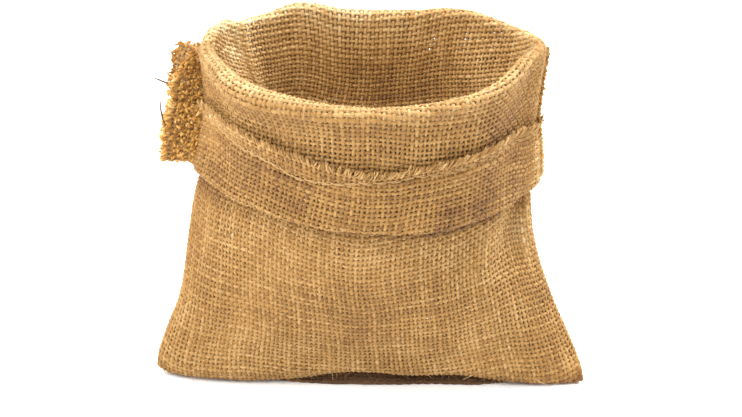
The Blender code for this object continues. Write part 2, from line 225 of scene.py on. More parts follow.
# %% Where the weave stands open
# How much wider than usual the weave stands, at shares of the way up the cloth: the pitch of
# the weft yarns and the width of all yarns in each panel, and the warp pitch in mid panel.
SPACINGS = named_rows(
    ("up", "front_weft", "back_weft", "front_width", "back_width", "middle_warp"),
    (0.00, 0.90, 0.94, 1.28, 1.50, 0.03),
    (0.04, 0.94, 0.96, 1.22, 1.45, 0.03),
    (0.07, 1.03, 0.95, 1.04, 1.62, 0.04),
    (0.28, 1.06, 0.95, 1.00, 1.62, 0.04),
    (0.40, 1.07, 0.95, 1.00, 1.46, 0.03),
    (0.46, 1.07, 0.88, 1.20, 1.20, 0.03),
    (0.55, 1.08, 0.80, 1.22, 1.04, 0.03),
    (0.61, 1.08, 0.80, 1.12, 1.04, -0.05),
    (0.64, 1.08, 0.86, 1.18, 1.12, -0.06),
    (0.67, 1.08, 0.98, 1.18, 1.22, -0.06),
    (0.70, 1.07, 1.04, 1.00, 1.22, -0.05),
    (0.85, 0.90, 1.10, 1.00, 1.20, 0.03),
    (1.00, 0.85, 1.10, 1.04, 1.20, 0.03),
)
print("the back's yarns are up to", max(column(SPACINGS, "back_width")), "times as wide as usual")

# %% [markdown]
# ## Soft random numbers
#
# Hand-fed jute is never even: yarns swell and thin, lean and crowd. Plain random numbers would
# make them jitter, so random knots are blended by a smooth spline instead. A fixed seed gives
# the same sack each time.

# %% Soft noise
KNOT = 1.8               # how far a random knot may lie from nought


def spline_weights(count, cells):
    """Weights that blend cells + 3 random knots into count smooth values."""
    place = np.linspace(0.0, cells, count)
    first = np.minimum(place.astype(int), cells - 1)
    share = place - first
    weights = np.zeros((count, cells + 3))
    blends = (
        (1.0 - share) ** 3 / 6.0,
        (3.0 * share ** 3 - 6.0 * share ** 2 + 4.0) / 6.0,
        (-3.0 * share ** 3 + 3.0 * share ** 2 + 3.0 * share + 1.0) / 6.0,
        share ** 3 / 6.0,
    )
    for step, blend in enumerate(blends):
        weights[np.arange(count), first + step] = blend
    return weights


def soft_field(rows, cells_up, columns, cells_across, seed):
    """Smooth random values, mostly between -1 and 1, over a grid of rows and columns."""
    knots = np.random.default_rng(seed).uniform(-KNOT, KNOT, (cells_up + 3, cells_across + 3))
    return spline_weights(rows, cells_up) @ knots @ spline_weights(columns, cells_across).T


def soft_lines(lines, points, cells, seed):
    """Smooth random values along each of many yarns, every yarn on its own."""
    knots = np.random.default_rng(seed).uniform(-KNOT, KNOT, (lines, cells + 3))
    return knots @ spline_weights(points, cells).T


print("a soft line:", soft_lines(1, 9, 3, 1).round(1).tolist())

# %% [markdown]
# ## Helpers for a sheet of points
#
# A panel is a grid of points: rows run up the cloth and columns across it. These helpers
# measure along the columns and find the direction that faces out of the sack.

# %% Grid helpers
def unit(vectors):
    return vectors / np.maximum(np.linalg.norm(vectors, axis=-1, keepdims=True), 1e-9)


def length_along(rows):
    """Running length up each column of a grid of points."""
    steps = np.linalg.norm(np.diff(rows, axis=0), axis=-1)
    return np.concatenate([np.zeros((1, rows.shape[1])), np.cumsum(steps, axis=0)])


def points_at(rows, length, wanted):
    """Points at the wanted running lengths, column by column."""
    found = np.empty(wanted.shape + (3,))
    for place in range(rows.shape[1]):
        for axis in range(3):
            found[:, place, axis] = np.interp(wanted[:, place], length[:, place], rows[:, place, axis])
    return found


def facing_out(rows, panel):
    """The direction out of the sack at each point of a grid whose rows run up the wall."""
    sign = 1.0 if panel == "front" else -1.0
    return unit(sign * np.cross(np.gradient(rows, axis=1), np.gradient(rows, axis=0)))


print("3 across and 4 up, as a direction one unit long:", unit(np.array([3.0, 4.0])).tolist())

# %% [markdown]
# ## The wall
#
# An empty sack stands because its cloth is stiff, and it keeps every dent that a hand gave it.
# Simulated cloth would find such a shape by itself, but not one that keeps the frame's sizes, so
# the shape is given. Each guide ring is half a rounded outline for a panel, with its points an
# even stretch of cloth apart. A smooth curve runs through the rings, column by column. Last come
# the dents and swells, and a low crumple that no cloth is without.

# %% From ring to ring
WALL_STEPS = 12          # rows from one guide ring to the next
RING_POINTS = 721        # along half a ring, before they are spread evenly


def half_ring(ring, panel, across):
    """One guide ring across one panel."""
    side = -1.0 if panel == "front" else 1.0
    turn = np.linspace(0.0, math.pi, RING_POINTS)
    reach = np.sin(turn) ** ring[panel + "_fullness"]
    seam_y = ring["seam_y"] + side * SEAM_SLIT / 2.0
    middle_x = (ring["left"] + ring["right"]) / 2.0
    half_width = (ring["right"] - ring["left"]) / 2.0
    points = np.stack([
        middle_x - half_width * np.cos(turn),
        seam_y + (ring[panel + "_y"] - seam_y) * reach,
        ring["seam_z"] + (ring[panel + "_z"] - ring["seam_z"]) * reach,
    ], axis=-1)[:, None, :]
    length = length_along(points)
    return points_at(points, length, across[:, None] * length[-1])[:, 0, :]


def smooth_between(guides, steps):
    """A smooth run of rows through the guide rings, with steps rows for each gap."""
    gaps = np.linalg.norm(np.diff(guides, axis=0), axis=-1, keepdims=True)
    slopes = np.diff(guides, axis=0) / gaps
    leans = np.empty_like(guides)
    leans[0], leans[-1] = slopes[0], slopes[-1]
    leans[1:-1] = (slopes[:-1] * gaps[1:] + slopes[1:] * gaps[:-1]) / (gaps[:-1] + gaps[1:])
    share = np.arange(steps)[:, None, None] / steps
    back = 1.0 - share
    rows = []
    for low, gap in enumerate(gaps):
        straight = (1.0 + 2.0 * share) * back ** 2 * guides[low]
        straight = straight + share ** 2 * (3.0 - 2.0 * share) * guides[low + 1]
        bend = share * back ** 2 * leans[low] - share ** 2 * back * leans[low + 1]
        rows.append(straight + gap * bend)
    return np.concatenate(rows + [guides[-1:]])


half_rim = half_ring(RINGS[-1], "front", np.linspace(0.0, 1.0, WARPS))[:, None, :]
print("the front half of the rim's ring is", length_along(half_rim)[-1, 0].round(), "mm long")

# %% Wall
CRUMPLE = 0.55           # height of the low crumple


def wall_rows(panel, across, seed):
    """The wall of one panel, from the bottom seam to the rim."""
    guides = np.array([half_ring(ring, panel, across) for ring in RINGS])
    rows = smooth_between(guides, WALL_STEPS)
    length = length_along(rows)
    up = length / length[-1]
    from_seam = np.minimum(np.minimum(across, 1.0 - across), up)
    free = 1.0 - np.exp(-(from_seam / SEAM_HOLD) ** 2)
    for bump in BUMPS:
        if bump["panel"] not in (panel, "both"):
            continue
        sideways = (across - bump["across"]) / bump["wide"]
        upwards = (up - bump["up"]) / bump["tall"]
        weight = np.exp(-sideways ** 2 - upwards ** 2) * (free if bump["panel"] == panel else 1.0)
        rows = rows + weight[..., None] * np.array([bump["dx"], bump["dy"], bump["dz"]])
    crumple = soft_field(len(rows), 8, len(across), 9, seed)
    crumple = crumple + 0.5 * soft_field(len(rows), 15, len(across), 18, seed + 2)
    rows = rows + (CRUMPLE * crumple * free)[..., None] * facing_out(rows, panel)
    rows[..., 2] = np.maximum(rows[..., 2], CLOTH / 2.0)
    return rows


across = np.linspace(0.0, 1.0, 2 * WARPS + 1)
walls = {panel: wall_rows(panel, across, seed) for panel, seed in (("front", 11), ("back", 12))}
print("the walls are", [round(wall[..., 2].max(), 1) for wall in walls.values()], "mm high")

# %% Which way is out
EASE_REACH = 6           # grid columns on each side over which a direction is averaged


def eased_round(front, back, reach):
    """Directions averaged round the whole ring, so that both panels agree at the seams."""
    ring = np.concatenate([front, back[:, ::-1]], axis=1)
    eased = unit(sum(np.roll(ring, step, axis=1) for step in range(-reach, reach + 1)))
    count = front.shape[1]
    return {"front": eased[:, :count], "back": eased[:, count:][:, ::-1]}


outs = eased_round(*(facing_out(walls[panel], panel) for panel in PANELS), EASE_REACH)
print("the front's middle faces", outs["front"][-1, WARPS].round(2).tolist())

# %% [markdown]
# ## Over the rim and down the cuff
#
# The mouth is turned out once, so the wall and the cuff are one cloth, and a separate band laid
# round the sack would break the yarns at the rim. The cloth bends over in half a turn, fuller
# where the rim is a soft roll. The cuff is then found by walking back down the wall and stepping
# off it by the sizes in the table, so it follows every dent of the wall it lies on.

# %% Rim
RIM_STEPS = 8


def half_turn(rows, out, radius, steps):
    """The cloth bending half a turn outwards past the last of some rows."""
    ahead = unit(rows[-1] - rows[-2])
    turn = np.linspace(0.0, math.pi, steps + 1)[1:, None, None]
    return rows[-1] + radius * ((1.0 - np.cos(turn)) * out + np.sin(turn) * ahead)


def rim_radius(panel):
    """The radius of the bend over the rim, across one panel."""
    radius = np.full(len(across), RIM_RADIUS)
    for roll in ROLLS:
        if roll["panel"] == panel:
            radius += roll["radius"] * np.exp(-((across - roll["across"]) / roll["wide"]) ** 2)
    return radius


radii = {panel: rim_radius(panel) for panel in PANELS}
rims = {}
for panel in PANELS:
    rims[panel] = half_turn(walls[panel], outs[panel][-1], radii[panel][:, None], RIM_STEPS)
print("the rim bends at radii up to", radii["front"].max().round(1), "mm")

# %% Cuff
CUFF_STEPS = 24
UNEVEN = 0.8             # how unevenly the mouth was turned out and the hem folded


def across_panel(panel, size, place):
    """The height of the cuff or the depth of the hem of one panel, at places across it."""
    return read(CUFF_SIZES, panel + "_" + size, place)


def uneven(panel, size, cells, seed):
    """The same for every column of the grid, and as uneven as handwork is."""
    return across_panel(panel, size, across) + UNEVEN * soft_field(1, 1, len(across), cells, seed)[0]


def lie_on(rows, out, from_end, step):
    """A ply that lies on some rows, at running lengths back from their end and steps off them."""
    length = length_along(rows)
    wanted = length[-1] - from_end
    return points_at(rows, length, wanted) + step[..., None] * unit(points_at(out, length, wanted))


def cuff_ply(panel):
    """The cuff's ply from under the rim down to its folded edge, off the wall."""
    down = np.linspace(0.0, 1.0, CUFF_STEPS + 1)[:, None]
    middle = read(CUFF, "at_middle", down)
    seam = read(CUFF, "at_seam", down)
    settling = np.maximum(1.0 - down / ROLL_DROP, 0.0) ** 2
    step = seam + (middle - seam) * np.sin(math.pi * across)
    step = step + 2.0 * (radii[panel] - RIM_RADIUS) * settling
    return lie_on(walls[panel], outs[panel], down * heights[panel], step)


heights = {panel: uneven(panel, "height", 12, seed) for panel, seed in (("front", 21), ("back", 22))}
depths = {panel: uneven(panel, "hem", 10, seed) for panel, seed in (("front", 23), ("back", 24))}
plies = {panel: cuff_ply(panel) for panel in PANELS}
lowest, highest = heights["front"].min().round(), heights["front"].max().round()
print("the front cuff is", lowest, "to", highest, "mm high")

# %% [markdown]
# ## Turnings and hem
#
# The turnings are more columns at both ends of the cuff's ply. They stand straight out of the
# seam, and the bend there is eased, because cloth this stiff never turns a sharp corner. The hem
# goes round a small fold at the cuff's lower edge and up again. Where it is sewn down, its ply
# is pulled in, and the raw edge above the stitches springs out.

# %% Turnings as more columns
def turning_columns(cuff, panel, seam):
    """The turnings of one seam, as further columns that stand out of the cuff's ply."""
    edge = cuff[:, :1] if seam == "left" else cuff[:, -1:]
    down = np.linspace(0.0, 1.0, CUFF_STEPS + 1)
    width = read(TURNINGS, seam + "_" + panel, down)
    opened = read(TURNINGS, seam + "_open", down)
    side = -1.0 if panel == "front" else 1.0
    sideways = -1.0 if seam == "left" else 1.0
    lean = np.radians(TURNING_LEAN[seam] + side * opened)
    flat = np.zeros_like(lean)
    direction = np.stack([sideways * np.cos(lean), np.sin(lean), flat], axis=-1)
    towards_back = np.stack([-sideways * np.sin(lean), np.cos(lean), flat], axis=-1)
    length = length_along(edge)
    drawn_up = points_at(edge, length, length * TURNING_DROP[seam])[:, 0]
    middle = drawn_up - side * SEAM_SLIT / 2.0 * np.array([0.0, 1.0, 0.0])
    seam_line = middle + side * (CLOTH + TURNING_GAP) / 2.0 * towards_back
    shares = np.linspace(0.0, 1.0, 2 * TURNING_WARPS[seam] + 1)[1:]
    return [seam_line + (share * width)[:, None] * direction for share in shares]


print("the turnings add", LEFT, "columns at the left and", RIGHT, "at the right")

# %% Ease the bend at the seams
EASE_COLUMNS = 4         # grid columns on each side of a seam over which its bend is eased
EASING_ROUNDS = 8


def with_turnings(cuff, panel):
    """The cuff's ply with its turnings, the left ones first, and the bend at each seam eased."""
    left = turning_columns(cuff, panel, "left")[::-1]
    right = turning_columns(cuff, panel, "right")
    wide = np.stack(left + list(np.swapaxes(cuff, 0, 1)) + right, axis=1)
    last = wide.shape[1] - 1
    for seam in (LEFT, last - RIGHT):
        low, high = max(seam - EASE_COLUMNS, 1), min(seam + EASE_COLUMNS, last - 1)
        for _ in range(EASING_ROUNDS):
            middle = wide[:, low:high + 1]
            beside = wide[:, low - 1:high] + wide[:, low + 1:high + 2]
            wide[:, low:high + 1] = (beside + 2.0 * middle) / 4.0
    return wide


cuffs = {panel: with_turnings(plies[panel], panel) for panel in PANELS}
print("a cuff's ply is a grid of", cuffs["front"].shape[:2], "points")

# %% Hem
HEM_STEPS = 20
# How far the hem's stitches run below its raw edge, and how far that edge springs out.
STITCHES = named_rows(
    ("across", "drop", "spring"),
    (0.00, 9.0, 1.0),
    (0.28, 12.0, 0.9),
    (0.34, 14.0, 1.0),
    (0.43, 10.5, 1.4),
    (0.48, 7.5, 1.4),
    (0.58, 6.6, 1.0),
    (0.64, 7.6, 0.5),
    (0.80, 7.6, -0.2),
    (1.00, 7.5, -0.2),
)
STITCH_PULL = 1.2        # how far the stitches draw the hem's ply in
PULL_REACH = 2.0         # and how far up and down that is felt
SPRING_REACH = 3.5       # from the raw edge down


def hem_ply(cuff, out, height, depth, place):
    """The hem's ply, from the fold up to its raw edge."""
    up = np.linspace(0.0, 1.0, HEM_STEPS + 1)[1:, None]
    from_edge = (1.0 - up) * depth
    stitches = read(STITCHES, "drop", place)
    pull = STITCH_PULL * np.exp(-((from_edge - stitches) / PULL_REACH) ** 2)
    spring = read(STITCHES, "spring", place)
    spring = spring * np.exp(-(from_edge / SPRING_REACH) ** 2)
    from_fold = up * depth / height * length_along(cuff)[-1]
    return lie_on(cuff, out, from_fold, PLY_STEP - pull + spring)


drops = column(STITCHES, "drop")
print("the hem's stitches run", drops.min(), "to", drops.max(), "mm below its raw edge")

# %% Whole panels as sheets
FOLD_STEPS = 8

sheets = {}
for panel in PANELS:
    cuff = cuffs[panel]
    cuff_out = facing_out(cuff[::-1], panel)[::-1]
    wide = [np.pad(values, (LEFT, RIGHT), "edge") for values in (heights[panel], depths[panel], across)]
    fold = half_turn(cuff, cuff_out[-1], PLY_STEP / 2.0, FOLD_STEPS)
    narrow = np.concatenate([walls[panel], rims[panel][:-1]])
    narrow_rows = len(narrow)    # those below the cuff, where no turnings show
    narrow = np.pad(narrow, ((0, 0), (LEFT, RIGHT), (0, 0)), "edge")
    sheets[panel] = np.concatenate([narrow, cuff, fold, hem_ply(cuff, cuff_out, *wide)])
print("a whole panel is a sheet of", sheets["front"].shape[:2], "points")

# %% [markdown]
# ## From a sheet to a weaving grid
#
# The sheet's columns are now read again at an even share of their own length, so that each row
# of the new grid is one weft yarn, or the middle between two. The raw edge then follows a weft
# yarn, as it does when cloth is cut along the thread. A soft drift moves the rows and columns
# a little, which opens the weave in some places and crowds it in others.

# %% Read a grid between its points
ACROSS_DRIFT = 0.6       # how far the warp yarns drift sideways, in half pitches


def read_rows(sheet, places):
    """The sheet's points at places between its rows, given for every column."""
    low = np.clip(places.astype(int), 0, len(sheet) - 2)
    share = (places - low)[..., None]
    columns = np.arange(sheet.shape[1])[None, :]
    return sheet[low, columns] * (1.0 - share) + sheet[low + 1, columns] * share


def spread_columns(points, up, seed):
    """The points between the seams, moved across: wider apart in mid panel, and drifting."""
    rows, count = points.shape[0], points.shape[1] - 1
    sideways = ACROSS_DRIFT * soft_field(rows, 22, count + 1, 20, seed)
    even = np.arange(count + 1)[None, :]
    apart = read(SPACINGS, "middle_warp", up)[:, None]
    bulge = -apart * count / (2.0 * math.pi) * np.sin(2.0 * math.pi * even / count)
    target = np.clip(even + bulge + sideways, 0, count)
    return np.swapaxes(read_rows(np.swapaxes(points, 0, 1), target.T), 0, 1)


# %% Weaving grid
UP_DRIFT = 0.55          # how far the weft yarns drift along the warp


def weaving_grid(sheet, panel, seed):
    """One panel's grid for weaving: its points and where its cuff begins, as a row."""
    last = sheet.shape[1] - 1 - RIGHT
    rows = 2 * WEFTS + 1
    drift = UP_DRIFT * soft_field(rows, 26, sheet.shape[1], 16, seed)
    drift[[0, -1]] = 0.0
    length = length_along(sheet)
    up = np.linspace(0.0, 1.0, rows)
    pitches = read(SPACINGS, panel + "_weft", up)
    shares = np.concatenate([[0.0], np.cumsum((pitches[1:] + pitches[:-1]) / 2.0)])
    wanted = (shares / shares[-1])[:, None] * length[-1] + drift
    places = np.empty((rows, sheet.shape[1]))
    for place in range(sheet.shape[1]):
        held = min(max(place, LEFT), last)
        places[:, place] = np.interp(wanted[:, held], length[:, held], np.arange(len(sheet)))
    points = read_rows(sheet, places)
    starts = np.where(places[:, [LEFT, last]] >= narrow_rows, 1, 0).argmax(axis=0)
    points[:, LEFT:last + 1] = spread_columns(points[:, LEFT:last + 1], up, seed + 1)
    return points, {"left": int(starts[0]), "right": int(starts[1])}


# %% Grids of both panels
corners = np.concatenate([sheet.reshape(-1, 3) for sheet in sheets.values()])
shift = np.array(frame_box).mean(axis=0) / MM - (corners.min(axis=0) + corners.max(axis=0)) / 2.0
shift[2] = 0.0
grids, cuff_starts = {}, {}
for panel, seed in (("front", 31), ("back", 41)):
    grids[panel], cuff_starts[panel] = weaving_grid(sheets[panel] + shift, panel, seed)
    wide = length_along(np.swapaxes(grids[panel][:, LEFT:-RIGHT], 0, 1))[-1]
    tall = length_along(grids[panel][:, LEFT:-RIGHT])[-1]
    print(panel, "panel: grid", grids[panel].shape[:2], "across", wide.min().round(), "to",
          wide.max().round(), "mm, up", tall.min().round(), "to", tall.max().round(), "mm")

# %% The three ways to go from a grid point
def grid_normals(points, panel, starts):
    """The outer face of the cloth at each grid point, the same face all along the cloth."""
    last = points.shape[1] - RIGHT
    wide = max(starts.values())
    normals = facing_out(points, panel)
    normals[:, LEFT:last] = facing_out(points[:, LEFT:last], panel)
    normals[wide:] = facing_out(points[wide:], panel)
    return normals


# At each point: across to the right, up the cloth, and off its outer face.
axes = {
    panel: (
        unit(np.gradient(grids[panel], axis=1)),
        unit(np.gradient(grids[panel], axis=0)),
        grid_normals(grids[panel], panel, cuff_starts[panel]),
    )
    for panel in PANELS
}
print("the cuff begins at rows", cuff_starts)

# %% [markdown]
# ## Yarns as tubes
#
# A jute yarn is a loose single twist, pressed flat where it crosses another. Each one is a tube
# with four corners to its section: two at the sides and one on each face. Smooth shading rounds
# it off, and four corners keep a whole panel light enough to work with. A curve object with a
# bevel could make the same tube, but arrays make twenty thousand crossings in a second and let
# every ring have its own width.

# %% Tubes as arrays
def frames_along(points, normals):
    """The sideways direction and the squared normal at each point of many lines."""
    along = unit(np.gradient(points, axis=1))
    sideways = unit(np.cross(normals, along))
    return sideways, unit(np.cross(along, sideways))


def tube_batch(points, normals, widths, thicks, tones, sides=4):
    """Many tubes with as many rings each. points is (lines, rings, 3), the sizes (lines, rings)."""
    sideways, upwards = frames_along(points, normals)
    turn = np.arange(sides) * 2.0 * math.pi / sides
    ring = points[:, :, None, :]
    ring = ring + (widths[..., None] / 2.0 * np.cos(turn))[..., None] * sideways[:, :, None, :]
    ring = ring + (thicks[..., None] / 2.0 * np.sin(turn))[..., None] * upwards[:, :, None, :]
    lines, rings = points.shape[:2]
    index = np.arange(lines * rings * sides).reshape(lines, rings, sides)
    beside = np.roll(index, -1, axis=2)
    walls = np.stack([index[:, :-1], beside[:, :-1], beside[:, 1:], index[:, 1:]], axis=-1)
    return {
        "points": ring.reshape(-1, 3),
        "walls": walls.reshape(-1, 4),
        "caps": np.concatenate([index[:, 0, ::-1], index[:, -1]]),
        "run": length_along(np.swapaxes(points, 0, 1)).T,
        "tone": np.repeat(tones.reshape(-1), sides),
        "shape": (lines, rings, sides),
    }


# %% [markdown]
# Each mesh gets two UV maps: one in millimetres along the yarn, for its fibres, and one that
# lays all yarns side by side, for baking. Each yarn there has one cell of a grid to itself.

# %% UV maps
def corner_places(batch):
    """For each corner of each face: its yarn, how far along it in mm, and the share of a turn."""
    lines, rings, sides = batch["shape"]
    run, turn = batch["run"], np.arange(sides) / sides
    along = np.stack([run[:, :-1], run[:, 1:]], axis=-1)[:, :, None, [0, 0, 1, 1]]
    around = turn[:, None] + np.array([0.0, 1.0, 1.0, 0.0]) / sides
    walls = (np.arange(lines)[:, None, None, None], along, around)
    walls = [np.broadcast_to(values, (lines, rings - 1, sides, 4)).ravel() for values in walls]
    caps = (np.arange(lines)[:, None], np.stack([run[:, 0], run[:, -1]])[..., None], turn)
    caps = [np.broadcast_to(values, (2, lines, sides)).ravel() for values in caps]
    return [np.concatenate(pair) for pair in zip(walls, caps)]


def baking_places(yarn, along, around, cells_wide, cells_high):
    """Where a yarn's surface lies in the baking map, with a margin round its cell."""
    across, up = yarn % cells_wide, yarn // cells_wide
    u = (across + 0.02 + 0.96 * along) / cells_wide
    v = (up + 0.08 + 0.84 * around) / cells_high
    return np.stack([u, v], axis=-1)


# %% Tube objects
def tube_object(name, batches, cells=1):
    """One mesh object of all the tubes in the batches, in metres."""
    lines = sum(batch["shape"][0] for batch in batches)
    longest = max(batch["run"].max() for batch in batches)
    faces, fibre_uv, bake_uv = [], [], []
    first_point, first_yarn = 0, 0
    for batch in batches:
        yarn, along, around = corner_places(batch)
        yarn = yarn + first_yarn
        fibre_uv.append(np.stack([along, around + yarn], axis=-1))
        bake_uv.append(baking_places(yarn, along / longest, around, cells, math.ceil(lines / cells)))
        faces.extend((batch["walls"] + first_point).tolist())
        faces.extend((batch["caps"] + first_point).tolist())
        first_point += len(batch["points"])
        first_yarn += batch["shape"][0]
    points = np.concatenate([batch["points"] for batch in batches])
    tones = np.concatenate([batch["tone"] for batch in batches])
    mesh = bpy.data.meshes.new(name)
    mesh.from_pydata((points * MM).tolist(), [], faces)
    mesh.polygons.foreach_set("use_smooth", [True] * len(mesh.polygons))
    for label, values in (("OFBake", bake_uv), ("yarn run", fibre_uv)):
        layer = mesh.uv_layers.new(name=label)
        layer.data.foreach_set("uv", np.concatenate(values).reshape(-1).astype(np.float32))
    tone = mesh.attributes.new("tone", "FLOAT", "POINT")
    tone.data.foreach_set("value", tones.astype(np.float32))
    mesh.validate()
    thing = bpy.data.objects.new(name, mesh)
    bpy.context.scene.collection.objects.link(thing)
    print(f"{name}: {lines} yarns, {sum(len(face) - 2 for face in faces)} triangles")
    return thing


# %% [markdown]
# ## Weaving
#
# In plain weave each warp yarn goes over one weft yarn and under the next, and its neighbour
# does the opposite. A pattern painted on the sheet could show that from afar, but cloth this
# open needs real holes. The sign of the step off the sheet is that of a chessboard, and about
# half the yarn's thickness is enough for the two to lie on each other.

# %% Yarn widths
YARN_WIDTH = {"warp": 1.58, "weft": 1.62}
YARN_THICKNESS = 1.05
SLUB = 0.14              # how much the yarns swell and thin
STOUTNESS = 0.10         # how much they differ from each other
WIDTH_PATCH = {"front": 0.10, "back": 0.04}  # how much the weave opens and closes in patches
WANDER = 0.12            # how far a yarn wanders sideways


def own_values(lines, seed):
    """A random value between -1 and 1 for each of many yarns."""
    return np.random.default_rng(seed).uniform(-1.0, 1.0, (lines, 1))


def yarn_widths(panel, rows, columns, seed):
    """How much wider than usual a panel's yarns are over its grid, in rows and soft patches."""
    even = read(SPACINGS, panel + "_width", np.linspace(0.0, 1.0, rows))
    return even[:, None] * (1.0 + WIDTH_PATCH[panel] * soft_field(rows, 15, columns, 11, seed))


def yarn_sizes(lines, points, width, seed):
    """Widths and thicknesses along many yarns, each with its own slubs and its own stoutness."""
    slubs = soft_lines(lines, points, max(points // 14, 1), seed + 1)
    fine = soft_lines(lines, points, max(points // 4, 1), seed + 2)
    swell = (1.0 + STOUTNESS * own_values(lines, seed)) * (1.0 + SLUB * slubs + 0.5 * SLUB * fine)
    return width * swell, YARN_THICKNESS * (0.5 + 0.5 * swell)


sample_widths, _ = yarn_sizes(1, 2 * WEFTS, YARN_WIDTH["warp"], 1)
print("one yarn is", sample_widths.min().round(2), "to", sample_widths.max().round(2), "mm wide")

# %% [markdown]
# The cloth is not one colour all over, and light and shade are painted into it as well: painted
# highlights on the rim, the fold and the hem below its raw edge, and painted shade in the hollow
# under the cuff and under the lifted bottom edge. A *tone* carries this: 0 is the darkest jute,
# used for the painted shade, and 1 the palest, used for the painted highlight.

# %% Painted light and shade, in mm
# Each patch of painted light or shade lies about a line across the cloth, so many mm beyond it,
# and spreads as far to both sides as reach says. A tone above nought paints a highlight, and one
# below nought paints shade. They are sorted by panel and line.
PAINTED_LIGHT_AND_SHADE_COLUMNS = ("across", "wide", "beyond", "reach", "tone")
PAINTED_LIGHT_AND_SHADE = {
    # painted highlight on the front rim's roll, where the light from above falls, and painted shade a
    # little below it in the middle and at the right
    ("front", "rim"): (
        (0.22, 0.24, 0.5, 5.5, 0.34), (0.76, 0.34, 0.5, 4.5, 0.15), (0.82, 0.12, 24.0, 14.0, -0.12),
        (0.52, 0.10, 10.0, 6.0, -0.16),
    ),
    # painted light on the inner lip of the left corner and along the back rim, where the lights fall,
    # and painted shade on the inside of the back wall below its middle
    ("back", "rim"): (
        (0.10, 0.10, 0.0, 5.0, 0.30), (0.09, 0.09, -14.0, 16.0, 0.32), (0.60, 0.50, 0.0, 3.0, 0.22),
        (0.25, 0.14, 0.0, 5.0, 0.20), (0.93, 0.06, -5.0, 8.0, 0.25), (0.43, 0.12, -7.0, 10.0, 0.30),
        (0.60, 0.14, -38.0, 16.0, -0.26), (0.81, 0.07, -22.0, 12.0, 0.22),
    ),
    # painted highlight along the cuff's folded edge and at its right end, patches of painted light on
    # the cuff, and a broad painted shade over the cuff and the wall near its fold
    ("front", "fold"): (
        (0.15, 0.25, 0.0, 2.0, 0.20), (0.50, 2.00, 0.0, 45.0, -0.11), (0.46, 0.10, 8.0, 12.0, 0.14),
        (0.33, 0.08, -40.0, 9.0, 0.18), (1.00, 0.05, 5.0, 35.0, 0.45),
    ),
    # painted shadow of the cuff's edge on the wall just under it, darkest at both ends, and patches of
    # painted light further down
    ("front", "under the fold"): (
        (0.70, 0.20, -5.5, 1.6, -0.50), (0.95, 0.05, -6.0, 5.0, -0.20),
        (0.94, 0.05, -22.0, 12.0, 0.26), (0.78, 0.16, -16.0, 16.0, 0.12),
        (0.50, 0.12, -16.0, 10.0, 0.14), (0.08, 0.12, -6.0, 5.0, -0.25),
    ),
    # painted shade along the bottom edge, darkest under the lifted arch, painted light on the wall above
    # it, and a little painted shade at the lower left
    ("front", "bottom"): (
        (0.55, 0.50, 0.0, 7.0, -0.60), (0.56, 0.40, 24.0, 20.0, 0.12),
        (0.14, 0.16, 34.0, 24.0, -0.05),
    ),
    # painted shade along the back panel's bottom edge
    ("back", "bottom"): ((0.50, 0.50, 0.0, 10.0, -0.30),),
    # painted light on the hem just below its raw edge
    ("front", "raw edge"): (
        (0.40, 0.60, -3.0, 3.0, 0.14), (0.15, 0.16, -6.0, 6.0, 0.16),
    ),
}
# the patches of painted light and shade
print(sum(len(places) for places in PAINTED_LIGHT_AND_SHADE.values()), "worn and dark places")

# %% Tones over the cloth
CLOTH_TONE = {"front": 0.40, "back": 0.45}
OWN_TONE = 0.05          # how much one yarn differs from the next
DRIFT_TONE = 0.10        # how much the tone drifts along a yarn
PATCH_TONE = 0.06        # how much it differs from patch to patch


def yarn_tones(lines, points, seed):
    """How much lighter or darker than its cloth each of many yarns is, all along it."""
    drift = soft_lines(lines, points, max(points // 6, 1), seed + 1)
    return OWN_TONE * own_values(lines, seed) + DRIFT_TONE * drift


def painted_light_lines(points):
    """The row of the grid at which each column meets the lines that the painted light and shade keep to.
    """
    row, height = np.arange(len(points))[:, None], points[..., 2]
    rim = height.argmax(axis=0)
    fold = np.where(row > rim, height, np.inf).argmin(axis=0)
    drop = np.abs(height - height[fold, np.arange(len(fold))])
    wall = np.where(row < rim, drop, np.inf).argmin(axis=0)
    return {"bottom": 0, "under the fold": wall, "rim": rim, "fold": fold, "raw edge": -1}


def cloth_tones(panel, seed):
    """The tone of the cloth over one panel's grid, with soft patches and its painted light and shade."""
    points = grids[panel]
    rows, columns = points.shape[:2]
    patches = soft_field(rows, 9, columns, 8, seed) + 0.7 * soft_field(rows, 22, columns, 19, seed + 1)
    tones = CLOTH_TONE[panel] + PATCH_TONE * patches
    length, place = length_along(points), np.arange(columns)
    across = np.clip((place - LEFT) / (columns - 1 - LEFT - RIGHT), 0.0, 1.0)
    for line, row in painted_light_lines(points).items():
        beyond = length - length[row, place]
        # each patch adds its tone: painted light above nought, painted shade below
        for painted_patch in named_rows(PAINTED_LIGHT_AND_SHADE_COLUMNS, *PAINTED_LIGHT_AND_SHADE.get((panel, line), ())):
            sideways = (across - painted_patch["across"]) / painted_patch["wide"]
            along = (beyond - painted_patch["beyond"]) / painted_patch["reach"]
            tones = tones + painted_patch["tone"] * np.exp(-sideways ** 2 - along ** 2)
    return tones


sample_tones = cloth_tones("front", 1)
print("tones of the front:", sample_tones.min().round(2), "to", sample_tones.max().round(2))

# %% Yarns along lines
def yarn_batch(points, normals, tones, width, seed):
    """Tubes along lines of points, as jute yarns that swell, thin and wander."""
    lines, rings = points.shape[:2]
    widths, thicks = yarn_sizes(lines, rings, width, seed)
    sideways, _ = frames_along(points, normals)
    wander = WANDER * soft_lines(lines, rings, max(rings // 5, 1), seed + 5)
    points = points + wander[..., None] * sideways
    return tube_batch(points, normals, widths, thicks, tones + yarn_tones(lines, rings, seed + 7))


# %% Weave one panel
CRIMP = 0.45             # how far a yarn is pushed off the sheet at a crossing


